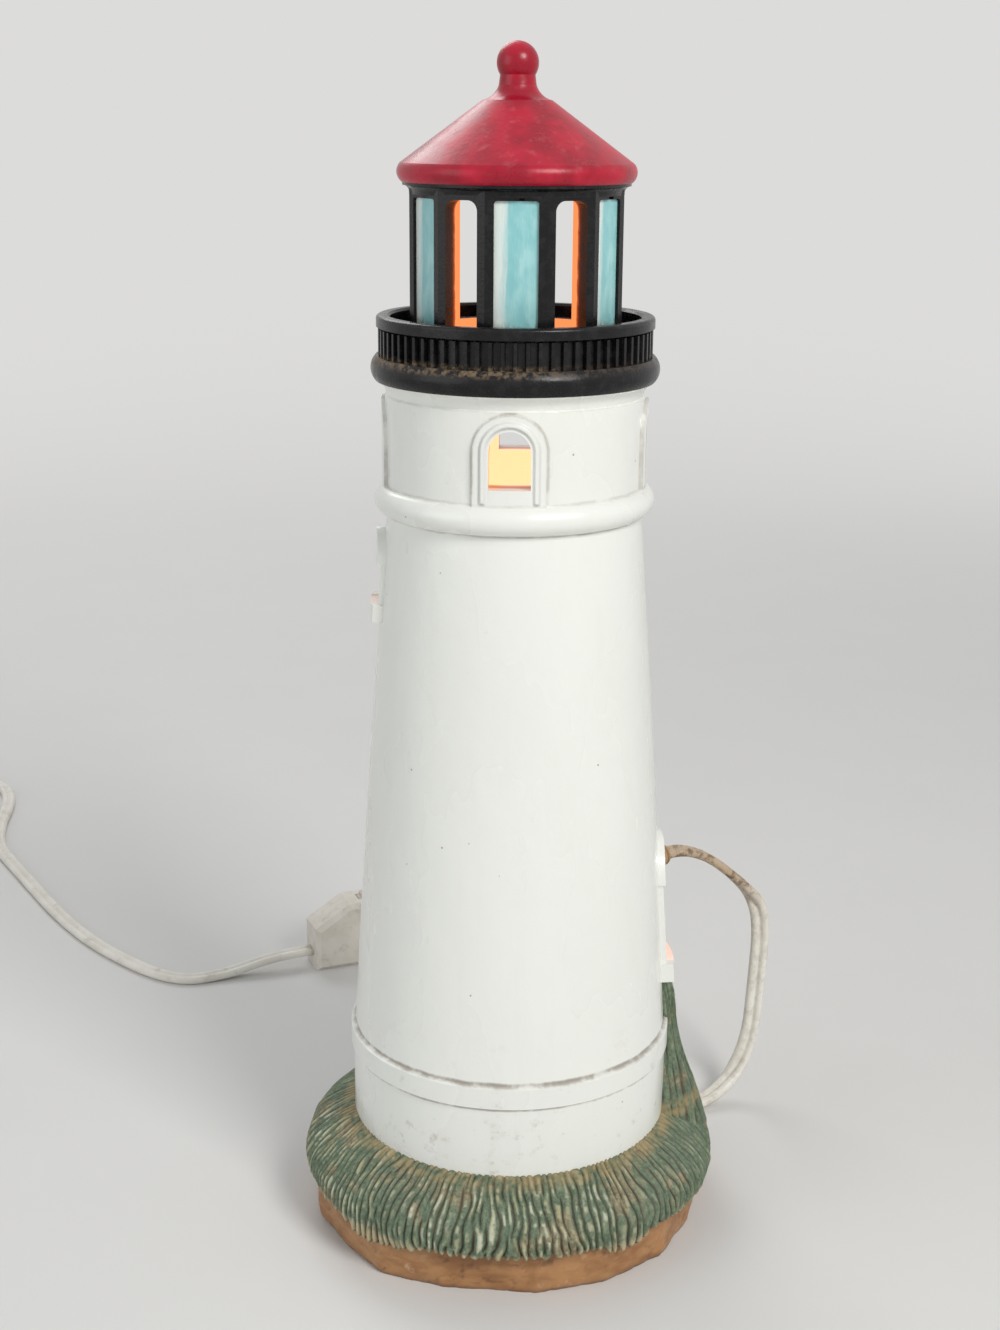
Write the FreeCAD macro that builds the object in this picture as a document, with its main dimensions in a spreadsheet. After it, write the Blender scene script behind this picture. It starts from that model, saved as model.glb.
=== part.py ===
# Lighted lighthouse ornament: a cast tower on a grassy rock, lit from inside by a
# small lamp in a clip-in lampholder, with a flat supply cord, a cord switch and a plug.
# Millimetres. Z is up. The origin is the middle of the rock's underside, -Y is the front.
import FreeCAD, Part
import math
import os

import Sketcher
from FreeCAD import Placement, Rotation, Vector

doc = FreeCAD.newDocument("lighthouse_ornament")
dim = doc.addObject("Spreadsheet::Sheet", "dim")

# Driving sizes. Turns are in degrees, counted from the front, positive towards +X.
SIZES = {
    "fit_gap": 0.15,
    "running_gap": 0.06,
    # rock and grass
    "rock_height": 16.0,
    "rock_floor": 5.0,
    "rock_lean": 0.8,
    "skirt_radius": 59.2,
    "skirt_drop": 4.0,
    "skirt_edge": 2.0,
    "skirt_overhang": 3.8,
    "mound_seat": 8.0,
    "socket_depth": 6.0,
    "shoulder_radius": 57.4,
    "shoulder_rise": 4.6,
    "mound_swell": 1.7,
    "bank_centre": 40.0,
    "bank_foot": 19.0,
    "bank_waist": 8.3,
    "bank_waist_rise": 31.0,
    "bank_top_rise": 55.0,
    # tower
    "tower_foot_radius": 44.0,
    "tower_wall": 6.2,
    "foot_length": 24.9,
    "band_height": 6.8,
    "band_radius": 44.7,
    "band_bevel": 0.6,
    "cone_foot_radius": 43.4,
    "cone_length": 144.7,
    "cone_bulge": 0.6,
    "cone_top_radius": 33.3,
    "ring_height": 7.6,
    "ring_radius": 36.6,
    "drum_radius": 33.6,
    "drum_height": 23.1,
    "drum_wall": 8.0,
    "drum_groove": 0.4,
    "cove_height": 3.9,
    "cove_radius": 36.0,
    # arched windows of the drum
    "window_turn": -2.0,
    "window_half": 5.25,
    "window_sill": 4.1,
    "window_height": 14.5,
    "surround_half": 9.25,
    "surround_relief": 0.9,
    # tall window on the side of the tower
    "side_turn": -87.0,
    "side_half": 5.0,
    "side_height": 17.0,
    "side_drop": 24.0,
    "side_frame": 2.6,
    "side_relief": 0.9,
    "hood_relief": 2.2,
    "sill_relief": 2.8,
    "sill_height": 4.0,
    # doorway
    "door_turn": 97.0,
    "door_half": 6.2,
    "door_height": 31.0,
    "door_rise": 17.5,
    "door_frame": 4.2,
    "door_relief": 1.5,
    "step_height": 5.0,
    "step_relief": 3.4,
    # gallery
    "gallery_spigot": 5.5,
    "light_bore": 22.2,
    "flange_radius": 37.2,
    "flange_height": 6.2,
    "baluster_wall": 33.9,
    "baluster_reach": 35.2,
    "baluster_width": 1.5,
    "baluster_height": 6.6,
    "baluster_count": 72,
    "rail_radius": 35.7,
    "rail_height": 3.6,
    "rail_inner": 32.2,
    "deck_rise": 9.5,
    "lantern_seat": 1.0,
    # lantern
    "lantern_radius": 27.5,
    "panel_half_turn": 16.1,
    "base_ring": 2.6,
    "post_half": 2.15,
    "lantern_sill": 4.9,
    "opening_height": 32.2,
    "opening_round": 2.6,
    "rebate": 0.7,
    "rebate_depth": 0.6,
    "head_height": 3.6,
    "head_radius": 28.8,
    "pane_recess": 0.8,
    "pane_thickness": 1.6,
    # roof
    "roof_spigot": 3.0,
    "rim_radius": 30.2,
    "rim_height": 4.7,
    "roof_shoulder": 29.3,
    "roof_cone": 15.0,
    "roof_top_radius": 8.7,
    "neck_length": 6.0,
    "neck_radius": 4.4,
    "ball_radius": 5.25,
    # lampholder, on an axis that points out of the tower
    "lamp_height": 86.0,
    "lamp_turn": 135.0,
    "boss_radius": 17.5,
    "boss_face": 43.9,
    "lamp_hole": 13.0,
    "holder_mouth": 15.0,
    "holder_radius": 10.4,
    "holder_flange": 16.0,
    "holder_flange_thick": 2.8,
    "holder_neck": 8.0,
    "holder_neck_length": 4.0,
    "shell_bore": 6.0,
    "shell_wall": 0.6,
    "shell_length": 14.9,
    "wire_hole": 2.3,
    "clip_width": 6.0,
    "clip_thick": 0.5,
    "clip_catch": 13.8,
    "relief_length": 14.0,
    "relief_radius": 5.2,
    "relief_tip": 3.3,
    # lamp
    "cap_radius": 5.92,
    "cap_wall": 0.35,
    "cap_length": 10.5,
    "bulb_radius": 11.0,
    "bulb_length": 40.0,
    "glass_wall": 0.7,
    "filament_wire": 0.4,
    # cord
    "cord_diameter": 4.4,
    "coil_radius": 31.0,
    "coil_pitch": 6.2,
    "coil_layer": 4.9,
    # cord switch, standing on its straight edge
    "switch_length": 50.0,
    "switch_thick": 15.0,
    "switch_end": 16.0,
    "switch_middle": 24.0,
    "switch_slope": 13.0,
    "switch_bevel": 1.6,
    "switch_entry": 5.7,
    "wheel_radius": 9.2,
    "wheel_thick": 4.2,
    "wheel_centre": 18.0,
    "wheel_gap": 0.4,
    "axle_radius": 2.0,
    "screw_radius": 1.2,
    "screw_head": 2.3,
    "screw_inset": 6.5,
    "screw_rise": 6.0,
    # plug
    "plug_length": 25.0,
    "plug_width": 21.0,
    "plug_thick": 10.5,
    "blade_length": 17.0,
    "blade_width": 6.35,
    "blade_thick": 1.5,
    "blade_spacing": 12.7,
    "blade_root": 5.0,
}
for row, (alias, number) in enumerate(SIZES.items(), 1):
    dim.set(f"A{row}", alias.replace("_", " "))
    dim.set(f"B{row}", str(number))
    dim.setAlias(f"B{row}", alias)
doc.recompute()

# Places that are not sizes: where the cord lies, and the rock's corners.
SWITCH_CORNER = Vector(-69.9, 143.6, 0)
SWITCH_TURN = 22.4
LOOP_ROUTE = [
    (75.5, 62.0, 68.0), (79.2, 62.8, 57.0), (78.0, 61.8, 35.0), (76.6, 59.8, 18.0),
    (70.8, 55.3, 6.0),
]
BACK_ROUTE = [
    (60.5, 47.0), (46.0, 44.0), (33.0, 52.5), (27.0, 68.0), (26.0, 96.0), (30.0, 130.0),
    (27.0, 159.0), (13.0, 177.0),
]
LEFT_ROUTE = [
    (-103.0, 137.5), (-121.0, 131.5), (-151.5, 158.2), (-174.0, 188.0), (-196.0, 231.0),
    (-215.5, 272.0),
]
COIL_ENTRY = Vector(-248, 348, 0)
COIL_HEADING = 115.0
# each corner of the rock: its turn from the front and how far it stands out or in
ROCK_CORNERS = [
    (-71, 1.2), (-55, 0.3), (-37, 2.0), (-19, -0.4), (8, -0.5), (28, 0.2), (50, 0.4),
    (70, -0.6), (92, 1.0), (113, 0.9), (134, -0.4), (157, 0.8), (181, -0.2), (203, 0.9),
    (226, -0.5), (248, 0.8), (268, 0.4),
]

# Heights of the stack, each from the one below.
ROCK_RADIUS = "(dim.skirt_radius - dim.skirt_overhang)"
SKIRT_BOTTOM = "(dim.rock_height - dim.skirt_drop)"
TOWER_FOOT = "(dim.rock_height + dim.mound_seat)"
MOUND_TOP = f"({TOWER_FOOT} + dim.socket_depth)"
BAND_BOTTOM = f"({TOWER_FOOT} + dim.foot_length)"
BAND_TOP = f"({BAND_BOTTOM} + dim.band_height)"
RING_BOTTOM = f"({BAND_TOP} + dim.cone_length)"
DRUM_BOTTOM = f"({RING_BOTTOM} + dim.ring_height)"
DRUM_TOP = f"({DRUM_BOTTOM} + dim.drum_height)"
TOWER_TOP = f"({DRUM_TOP} + dim.cove_height)"
RAIL_BOTTOM = f"({TOWER_TOP} + dim.flange_height + dim.baluster_height)"
RAIL_TOP = f"({RAIL_BOTTOM} + dim.rail_height)"
DECK = f"({TOWER_TOP} + dim.deck_rise)"
LANTERN_BOTTOM = f"({DECK} - dim.lantern_seat)"
OPENING_BOTTOM = f"({LANTERN_BOTTOM} + dim.lantern_sill)"
OPENING_TOP = f"({OPENING_BOTTOM} + dim.opening_height)"
ROOF_BOTTOM = f"({OPENING_TOP} + dim.head_height)"
DRUM_BORE = "(dim.drum_radius - dim.drum_wall)"

nodes = []


def amount(expression):
    """The value of an expression on the sheet."""
    found = dim.evalExpression(expression)
    return float(getattr(found, "Value", found))


def keep(thing, label):
    """Marks a finished sub-part, which is written to a file of its own."""
    thing.Label = label
    nodes.append(thing)
    return thing


# ---------------------------------------------------------------- sketches and features
def through(across, up):
    """A point that the edge to the next corner bends through."""
    return (across, up, "through")


def place_point(sketch, geometry, end, across, up):
    """Holds one point of a sketch at the two expressions."""
    for kind, axis, expression in (("DistanceX", -2, across), ("DistanceY", -1, up)):
        if expression == "0":
            sketch.addConstraint(Sketcher.Constraint("PointOnObject", geometry, end, axis))
            continue
        held = Sketcher.Constraint(kind, -1, 1, geometry, end, amount(expression))
        number = sketch.addConstraint(held)
        sketch.setExpression(f"Constraints[{number}]", expression)


def bend(start, middle, stop):
    """The arc through three points, counted anticlockwise, and whether it runs so."""
    curve = Part.Arc(start, middle, stop).toShape().Curve
    forward = (middle - start).cross(stop - middle).z > 0
    first, last = (start, stop) if forward else (stop, start)
    begin = math.atan2(first.y - curve.Center.y, first.x - curve.Center.x)
    end = math.atan2(last.y - curve.Center.y, last.x - curve.Center.x)
    if end <= begin:
        end += 2 * math.pi
    circle = Part.Circle(curve.Center, Vector(0, 0, 1), curve.Radius)
    return Part.ArcOfCircle(circle, begin, end), forward


def draw(sketch, steps):
    """A closed outline of straight edges and of arcs through the given points."""
    corners = [step for step in steps if len(step) == 2]
    bends = {}
    for number, step in enumerate(steps):
        if len(step) == 3:
            before = len([s for s in steps[:number] if len(s) == 2]) - 1
            bends[before] = step[:2]
    at = [Vector(amount(x), amount(y), 0) for x, y in corners]
    ends = []
    for i, start in enumerate(at):
        stop = at[(i + 1) % len(at)]
        if i in bends:
            middle = Vector(amount(bends[i][0]), amount(bends[i][1]), 0)
            curve, forward = bend(start, middle, stop)
            edge = sketch.addGeometry(curve)
            ends.append((edge, 1, 2) if forward else (edge, 2, 1))
            point = sketch.addGeometry(Part.Point(middle), True)
            place_point(sketch, point, 1, *bends[i])
            sketch.addConstraint(Sketcher.Constraint("PointOnObject", point, 1, edge))
        else:
            ends.append((sketch.addGeometry(Part.LineSegment(start, stop)), 1, 2))
    for i, (edge, first, last) in enumerate(ends):
        following, start_of_next, _ = ends[(i + 1) % len(ends)]
        joined = Sketcher.Constraint("Coincident", edge, last, following, start_of_next)
        sketch.addConstraint(joined)
        place_point(sketch, edge, first, *corners[i])


def draw_circle(sketch, radius, across="0", up="0"):
    """A circle whose radius and centre are expressions."""
    centre = Vector(amount(across), amount(up), 0)
    circle = Part.Circle(centre, Vector(0, 0, 1), amount(radius))
    edge = sketch.addGeometry(circle)
    place_point(sketch, edge, 3, across, up)
    number = sketch.addConstraint(Sketcher.Constraint("Radius", edge, amount(radius)))
    sketch.setExpression(f"Constraints[{number}]", radius)


def new_body(name):
    body = doc.addObject("PartDesign::Body", name)
    body.Label = name
    return body


def origin_part(body, role):
    return next(part for part in body.Origin.OriginFeatures if part.Role == role)


def sketch_in(body, name, role, lift=None, turn=None):
    """A sketch on one of its body's own planes, lifted off it or turned about its upright."""
    sketch = body.newObject("Sketcher::SketchObject", name)
    sketch.AttachmentSupport = (origin_part(body, role), [""])
    sketch.MapMode = "FlatFace"
    if turn is not None:
        sketch.AttachmentOffset = Placement(Vector(), Rotation(Vector(0, 1, 0), turn))
    if lift is not None:
        sketch.setExpression("AttachmentOffset.Base.z", lift)
    return sketch


def revolve(body, name, steps, removes=False):
    """A shape turned about the body's Z axis from an outline in its XZ plane."""
    sketch = sketch_in(body, name + "_outline", "XZ_Plane")
    draw(sketch, steps)
    kind = "PartDesign::Groove" if removes else "PartDesign::Revolution"
    feature = body.newObject(kind, name)
    feature.Profile = sketch
    feature.ReferenceAxis = (sketch, ["V_Axis"])
    feature.Angle = 360
    return feature


def pad(body, name, sketch, length, midplane=False, backwards=False):
    feature = body.newObject("PartDesign::Pad", name)
    feature.Profile = sketch
    feature.setExpression("Length", length)
    feature.Midplane = midplane
    feature.Reversed = backwards
    return feature


def pocket(body, name, sketch, length, backwards=False, midplane=False):
    """A cut of the given depth, which must take material away."""
    doc.recompute()
    before = body.Shape.Volume
    feature = body.newObject("PartDesign::Pocket", name)
    feature.Profile = sketch
    feature.setExpression("Length", length)
    feature.Midplane = midplane
    feature.Reversed = backwards
    doc.recompute()
    if not body.Shape.Volume < before - 0.01:
        raise RuntimeError(f"{name} cuts nothing")
    return feature


def repeat_round(body, name, feature, count):
    """Copies a feature round the body's Z axis. The count is an expression."""
    pattern = body.newObject("PartDesign::PolarPattern", name)
    pattern.Originals = [feature]
    pattern.Axis = (origin_part(body, "Z_Axis"), [""])
    pattern.Angle = 360
    pattern.setExpression("Occurrences", count)
    body.Tip = pattern
    return pattern


def simple(kind, name, **expressions):
    """A Part primitive whose sizes and place are expressions."""
    thing = doc.addObject(kind, name)
    for size, expression in expressions.items():
        path = size if size[0].isupper() else "Placement.Base." + size
        thing.setExpression(path, expression)
    return thing


def joined(name, *things):
    fusion = doc.addObject("Part::MultiFuse", name)
    fusion.Shapes = list(things)
    return fusion


def cut(name, base, tool):
    result = doc.addObject("Part::Cut", name)
    result.Base = base
    result.Tool = tool
    return result


def common(name, first, second):
    result = doc.addObject("Part::Common", name)
    result.Base = first
    result.Tool = second
    return result


def push_out(name, steps, length, turn, start="dim.drum_radius * 0.5"):
    """An upright outline run outwards from near the tower's axis, at a turn."""
    sketch = doc.addObject("Sketcher::SketchObject", name + "_outline")
    sketch.Placement = Placement(Vector(), Rotation(Vector(1, 0, 0), 90))
    sketch.setExpression("Placement.Base.y", f"-({start})")
    draw(sketch, steps)
    run = doc.addObject("Part::Extrusion", name)
    run.Base = sketch
    run.DirMode = "Normal"
    run.Solid = True
    run.setExpression("LengthFwd", length)
    run.Placement = Placement(Vector(), Rotation(Vector(0, 0, 1), amount(turn)))
    run.setExpression("Placement.Rotation.Angle", turn)
    return run


def arch(half, bottom, spring):
    """The outline of a round-headed opening."""
    crown = f"({spring} + {half})"
    return [
        (f"-({half})", bottom), (half, bottom), (half, spring),
        through("0", crown), (f"-({half})", spring),
    ]


def block(half, bottom, top):
    return [(f"-({half})", bottom), (half, bottom), (half, top), (f"-({half})", top)]


def unit(vector):
    return Vector(vector).normalize()


def sweep(name, route, size):
    """A round bar along straight runs joined by arcs as large as the runs allow."""
    edges = []
    radii = []
    here = route[0]
    for before, corner, after in zip(route, route[1:], route[2:]):
        into, away = unit(corner - before), unit(after - corner)
        reach = 0.45 * min((corner - before).Length, (after - corner).Length)
        turn = into.getAngle(away)
        radii.append(reach / math.tan(turn / 2))
        start, stop = corner - into * reach, corner + away * reach
        inward = unit(away - into)
        middle = corner + inward * (radii[-1] / math.cos(turn / 2) - radii[-1])
        edges.append(Part.LineSegment(here, start).toShape())
        edges.append(Part.Arc(start, middle, stop).toShape())
        here = stop
    edges.append(Part.LineSegment(here, route[-1]).toShape())
    path = Part.Wire(edges)
    ring = Part.Wire([Part.makeCircle(size / 2, route[0], route[1] - route[0])])
    bar = doc.addObject("Part::Feature", name)
    bar.Shape = path.makePipeShell([ring], True, False)
    return bar, path.Length, radii


# ---------------------------------------------------------------- rock and grass
def rock_wire(name, height, reach):
    """One level of the rock's faceted side, a closed outline through its corners."""
    sketch = doc.addObject("Sketcher::SketchObject", name)
    sketch.setExpression("Placement.Base.z", height)
    corners = [
        (f"({reach} + {out}) * sin({turn})", f"-({reach} + {out}) * cos({turn})")
        for turn, out in ROCK_CORNERS
    ]
    draw(sketch, corners)
    return sketch


def make_rock():
    foot = rock_wire("rock_foot", "0", f"{ROCK_RADIUS} - dim.rock_lean")
    belly = rock_wire("rock_belly", "dim.rock_height * 0.4", ROCK_RADIUS)
    head = rock_wire("rock_head", "dim.rock_height", f"{ROCK_RADIUS} - dim.rock_lean")
    loft = doc.addObject("Part::Loft", "rock_side")
    loft.Sections = [foot, belly, head]
    loft.Solid = True
    loft.Ruled = True
    room = simple("Part::Cylinder", "rock_room",
                  Radius="dim.tower_foot_radius - dim.tower_wall",
                  Height="dim.rock_height", z="dim.rock_floor")
    return keep(cut("rock_cut", loft, room), "rock_plinth")


def tower_steps(gap="0"):
    """The tower's outer outline from its foot to its top, grown by a gap."""
    def out(radius):
        return f"{radius} + {gap}"

    waist = "(dim.cone_foot_radius + dim.cone_top_radius) / 2 + dim.cone_bulge"
    return [
        ("0", TOWER_FOOT),
        (out("dim.tower_foot_radius"), TOWER_FOOT),
        (out("dim.tower_foot_radius"), BAND_BOTTOM),
        (out("dim.band_radius"), f"{BAND_BOTTOM} + dim.band_bevel"),
        (out("dim.band_radius"), f"{BAND_TOP} - dim.band_bevel"),
        (out("dim.cone_foot_radius"), BAND_TOP),
        through(out(waist), f"({BAND_TOP} + {RING_BOTTOM}) / 2"),
        (out("dim.cone_top_radius"), RING_BOTTOM),
        through(out("dim.ring_radius"), f"({RING_BOTTOM} + {DRUM_BOTTOM}) / 2"),
        (out("dim.drum_radius"), DRUM_BOTTOM),
        (out("dim.drum_radius"), DRUM_TOP),
        (out("dim.drum_radius - dim.drum_groove"), f"{DRUM_TOP} + dim.drum_groove"),
        through(out("dim.drum_radius + (dim.cove_radius - dim.drum_radius) * 0.25"),
                f"{DRUM_TOP} + dim.cove_height * 0.68"),
        (out("dim.cove_radius"), TOWER_TOP),
        ("0", TOWER_TOP),
    ]


def make_mound():
    """Grass skirt and slope round the tower's foot, with a bank that rises to the doorway."""
    seat = "dim.tower_foot_radius + dim.fit_gap"
    rise = "dim.rock_height + dim.shoulder_rise"
    edge = "dim.skirt_radius - dim.skirt_edge"
    body = new_body("slope")
    revolve(body, "slope_turned", [
        ("0", "dim.rock_height"),
        (edge, "dim.rock_height"),
        (edge, SKIRT_BOTTOM),
        (f"{edge} + dim.skirt_edge / 2", SKIRT_BOTTOM),
        through("dim.skirt_radius", f"{SKIRT_BOTTOM} + dim.skirt_drop"),
        ("dim.shoulder_radius", rise),
        through(f"(dim.shoulder_radius + {seat}) / 2 + dim.mound_swell * 0.6",
                f"({rise} + {MOUND_TOP}) / 2 + dim.mound_swell"),
        (seat, MOUND_TOP),
        ("0", MOUND_TOP),
    ])
    bank = new_body("bank")
    revolve(bank, "bank_turned", [
        ("0", "dim.rock_height"),
        ("dim.bank_foot", "dim.rock_height"),
        through("dim.bank_foot * 0.72", "dim.rock_height + dim.bank_waist_rise * 0.66"),
        ("dim.bank_waist", "dim.rock_height + dim.bank_waist_rise"),
        ("dim.bank_waist - 0.3", "dim.rock_height + dim.bank_top_rise * 0.84"),
        through("dim.bank_waist * 0.72", "dim.rock_height + dim.bank_top_rise * 0.95"),
        ("0", "dim.rock_height + dim.bank_top_rise"),
    ])
    bank.setExpression("Placement.Base.x", "dim.bank_centre * sin(dim.door_turn)")
    bank.setExpression("Placement.Base.y", "-dim.bank_centre * cos(dim.door_turn)")
    socket = new_body("tower_socket")
    revolve(socket, "socket_turned", tower_steps("dim.fit_gap"))
    room = simple("Part::Cylinder", "mound_room",
                  Radius="dim.tower_foot_radius - dim.tower_wall",
                  Height="dim.rock_height * 2", z="dim.rock_height / 2")
    step = push_out("step_room",
                    block("(dim.door_half + dim.door_frame + 0.8 + dim.fit_gap)",
                          f"{DOOR_BOTTOM} - dim.step_height - dim.fit_gap", DOOR_SPRING),
                    "dim.cone_foot_radius + dim.step_relief + dim.fit_gap", "dim.door_turn")
    solid = joined("mound_solid", body, bank)
    tools = joined("mound_tools", socket, room, step)
    return keep(cut("mound_cut", solid, tools), "grass_mound")


# ---------------------------------------------------------------- tower
DOOR_BOTTOM = f"({BAND_TOP} + dim.door_rise)"
DOOR_SPRING = f"({DOOR_BOTTOM} + dim.door_height - dim.door_half)"
SIDE_SPRING = f"({RING_BOTTOM} - dim.side_drop + dim.side_height - dim.side_half)"
SIDE_BOTTOM = f"({RING_BOTTOM} - dim.side_drop)"
WINDOW_SPRING = f"({DRUM_BOTTOM} + dim.window_sill + dim.window_height - dim.window_half)"


def envelope(name, relief):
    """The tower's slope, grown by a relief, which trims a moulding to the wall."""
    return simple("Part::Cone", name, z=BAND_TOP, Height="dim.cone_length",
                  Radius1=f"dim.cone_foot_radius + dim.cone_bulge / 2 + {relief}",
                  Radius2=f"dim.cone_top_radius + dim.cone_bulge / 2 + {relief}")


def moulding(name, steps, relief, turn):
    """A raised moulding on the slope."""
    run = push_out(name + "_run", steps, "dim.cone_foot_radius", turn,
                   "dim.cone_top_radius * 0.7")
    return common(name, run, envelope(name + "_trim", relief))


def tower_mouldings():
    """Surrounds of the drum's windows, the side window's frame and the doorway's frame."""
    made = []
    for quarter in range(4):
        turn = f"dim.window_turn + {90 * quarter}"
        run = push_out(f"surround_run_{quarter}",
                       arch("dim.surround_half", f"{DRUM_BOTTOM} - 0.5", WINDOW_SPRING),
                       "dim.drum_radius", turn, "dim.drum_radius * 0.8")
        trim = simple("Part::Cylinder", f"surround_trim_{quarter}", z=RING_BOTTOM,
                      Radius="dim.drum_radius + dim.surround_relief",
                      Height="dim.drum_height + dim.ring_height")
        made.append(common(f"surround_{quarter}", run, trim))
    side = "(dim.side_half + dim.side_frame)"
    made.append(moulding("side_frame", arch(side, SIDE_BOTTOM, SIDE_SPRING),
                         "dim.side_relief", "dim.side_turn"))
    made.append(moulding("side_hood", arch(f"({side} + 0.5)", f"{SIDE_SPRING} - 0.8",
                                           SIDE_SPRING),
                         "dim.hood_relief", "dim.side_turn"))
    made.append(moulding("side_sill",
                         block(f"({side} + 0.8)", f"{SIDE_BOTTOM} - dim.sill_height",
                               f"{SIDE_BOTTOM} + 0.3"),
                         "dim.sill_relief", "dim.side_turn"))
    door = "(dim.door_half + dim.door_frame)"
    made.append(moulding("door_frame", arch(door, DOOR_BOTTOM, DOOR_SPRING),
                         "dim.door_relief", "dim.door_turn"))
    made.append(moulding("door_hood", arch(f"({door} + 0.5)", f"{DOOR_SPRING} - 1",
                                           DOOR_SPRING),
                         "dim.hood_relief", "dim.door_turn"))
    made.append(moulding("door_step",
                         block(f"({door} + 0.8)", f"{DOOR_BOTTOM} - dim.step_height",
                               f"{DOOR_BOTTOM} + 0.3"),
                         "dim.step_relief", "dim.door_turn"))
    return made


def lamp_axis():
    turn = math.radians(amount("dim.lamp_turn"))
    return Vector(math.sin(turn), -math.cos(turn), 0)


def on_lamp_axis(thing):
    """Stands a piece that was made about Z on the lamp's axis, its Z pointing outwards."""
    tilt = Rotation(Vector(0, 1, 0), 90)
    swing = Rotation(Vector(0, 0, 1), amount("dim.lamp_turn") - 90)
    thing.Placement = Placement(Vector(), swing.multiply(tilt))
    thing.setExpression("Placement.Base.z", "dim.lamp_height")
    return thing


def make_tower():
    outer = new_body("tower_outer")
    revolve(outer, "tower_turned", tower_steps())
    boss = on_lamp_axis(simple("Part::Cylinder", "lamp_boss", Radius="dim.boss_radius",
                               Height="dim.boss_face"))
    solid = joined("tower_solid", outer, boss, *tower_mouldings())
    hollow = new_body("tower_hollow")
    foot = "dim.tower_foot_radius - dim.tower_wall"
    revolve(hollow, "hollow_turned", [
        ("0", f"{TOWER_FOOT} - 1"),
        (foot, f"{TOWER_FOOT} - 1"),
        (foot, BAND_BOTTOM),
        ("dim.cone_top_radius - dim.tower_wall", f"{RING_BOTTOM} - dim.ring_height"),
        (DRUM_BORE, DRUM_BOTTOM),
        (DRUM_BORE, f"{TOWER_TOP} + 1"),
        ("0", f"{TOWER_TOP} + 1"),
    ])
    tools = [hollow]
    for quarter in range(4):
        tools.append(push_out(f"window_{quarter}",
                              arch("dim.window_half", f"{DRUM_BOTTOM} + dim.window_sill",
                                   WINDOW_SPRING),
                              "dim.ring_radius * 1.5",
                              f"dim.window_turn + {90 * quarter}"))
    tools.append(push_out("side_window", arch("dim.side_half", SIDE_BOTTOM, SIDE_SPRING),
                          "dim.cone_foot_radius * 1.5", "dim.side_turn"))
    tools.append(push_out("doorway", arch("dim.door_half", DOOR_BOTTOM, DOOR_SPRING),
                          "dim.cone_foot_radius * 1.5", "dim.door_turn"))
    tools.append(on_lamp_axis(simple("Part::Cylinder", "lamp_opening",
                                     Radius="dim.lamp_hole",
                                     Height="dim.boss_face + 1")))
    return keep(cut("tower_cut", solid, joined("tower_tools", *tools)), "tower_shell")


# ---------------------------------------------------------------- gallery
def make_gallery():
    """Black gallery: rounded flange, moulded balusters, round-topped rail and deck."""
    body = new_body("gallery_body")
    flange_top = f"({TOWER_TOP} + dim.flange_height)"
    bore = "dim.light_bore"
    revolve(body, "gallery_turned", [
        (bore, f"{TOWER_TOP} - dim.gallery_spigot"),
        (f"{DRUM_BORE} - dim.fit_gap", f"{TOWER_TOP} - dim.gallery_spigot"),
        (f"{DRUM_BORE} - dim.fit_gap", TOWER_TOP),
        ("dim.cove_radius", TOWER_TOP),
        through("dim.flange_radius", f"{TOWER_TOP} + dim.flange_height * 0.55"),
        ("dim.flange_radius - 1.3", flange_top),
        ("dim.baluster_wall", flange_top),
        ("dim.baluster_wall", RAIL_BOTTOM),
        ("dim.rail_radius", f"{RAIL_BOTTOM} + 0.7"),
        ("dim.rail_radius", f"{RAIL_TOP} - 0.9"),
        through("dim.rail_radius - 0.3", f"{RAIL_TOP} - 0.25"),
        ("dim.rail_radius - 1", RAIL_TOP),
        ("dim.rail_inner + 0.6", RAIL_TOP),
        ("dim.rail_inner", f"{RAIL_TOP} - 0.6"),
        ("dim.rail_inner", DECK),
        ("dim.lantern_radius + dim.fit_gap", DECK),
        ("dim.lantern_radius + dim.fit_gap", LANTERN_BOTTOM),
        (bore, LANTERN_BOTTOM),
    ])
    sketch = sketch_in(body, "baluster_outline", "XY_Plane", lift=flange_top)
    draw(sketch, [
        ("dim.baluster_wall - 0.4", "-dim.baluster_width / 2"),
        ("dim.baluster_reach", "-dim.baluster_width / 2 + 0.3"),
        ("dim.baluster_reach", "dim.baluster_width / 2 - 0.3"),
        ("dim.baluster_wall - 0.4", "dim.baluster_width / 2"),
    ])
    rib = pad(body, "baluster", sketch, "dim.baluster_height + 0.2")
    repeat_round(body, "balusters", rib, "dim.baluster_count")
    return keep(body, "gallery")


# ---------------------------------------------------------------- lantern
APOTHEM = "(dim.lantern_radius * cos(dim.panel_half_turn))"
PANEL_HALF = "(dim.lantern_radius * sin(dim.panel_half_turn) - dim.post_half)"
OPENING_HALF = "(dim.lantern_radius * sin(30 - dim.panel_half_turn) - dim.post_half)"


def round_headed(half, bottom, top, corner):
    """An upright opening with rounded upper corners."""
    inset = f"({corner} * 0.293)"
    return [
        (f"-({half})", bottom), (half, bottom), (half, f"{top} - {corner}"),
        through(f"{half} - {inset}", f"{top} - {inset}"),
        (f"{half} - {corner}", top), (f"-({half} - {corner})", top),
        through(f"-({half} - {inset})", f"{top} - {inset}"),
        (f"-({half})", f"{top} - {corner}"),
    ]


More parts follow.
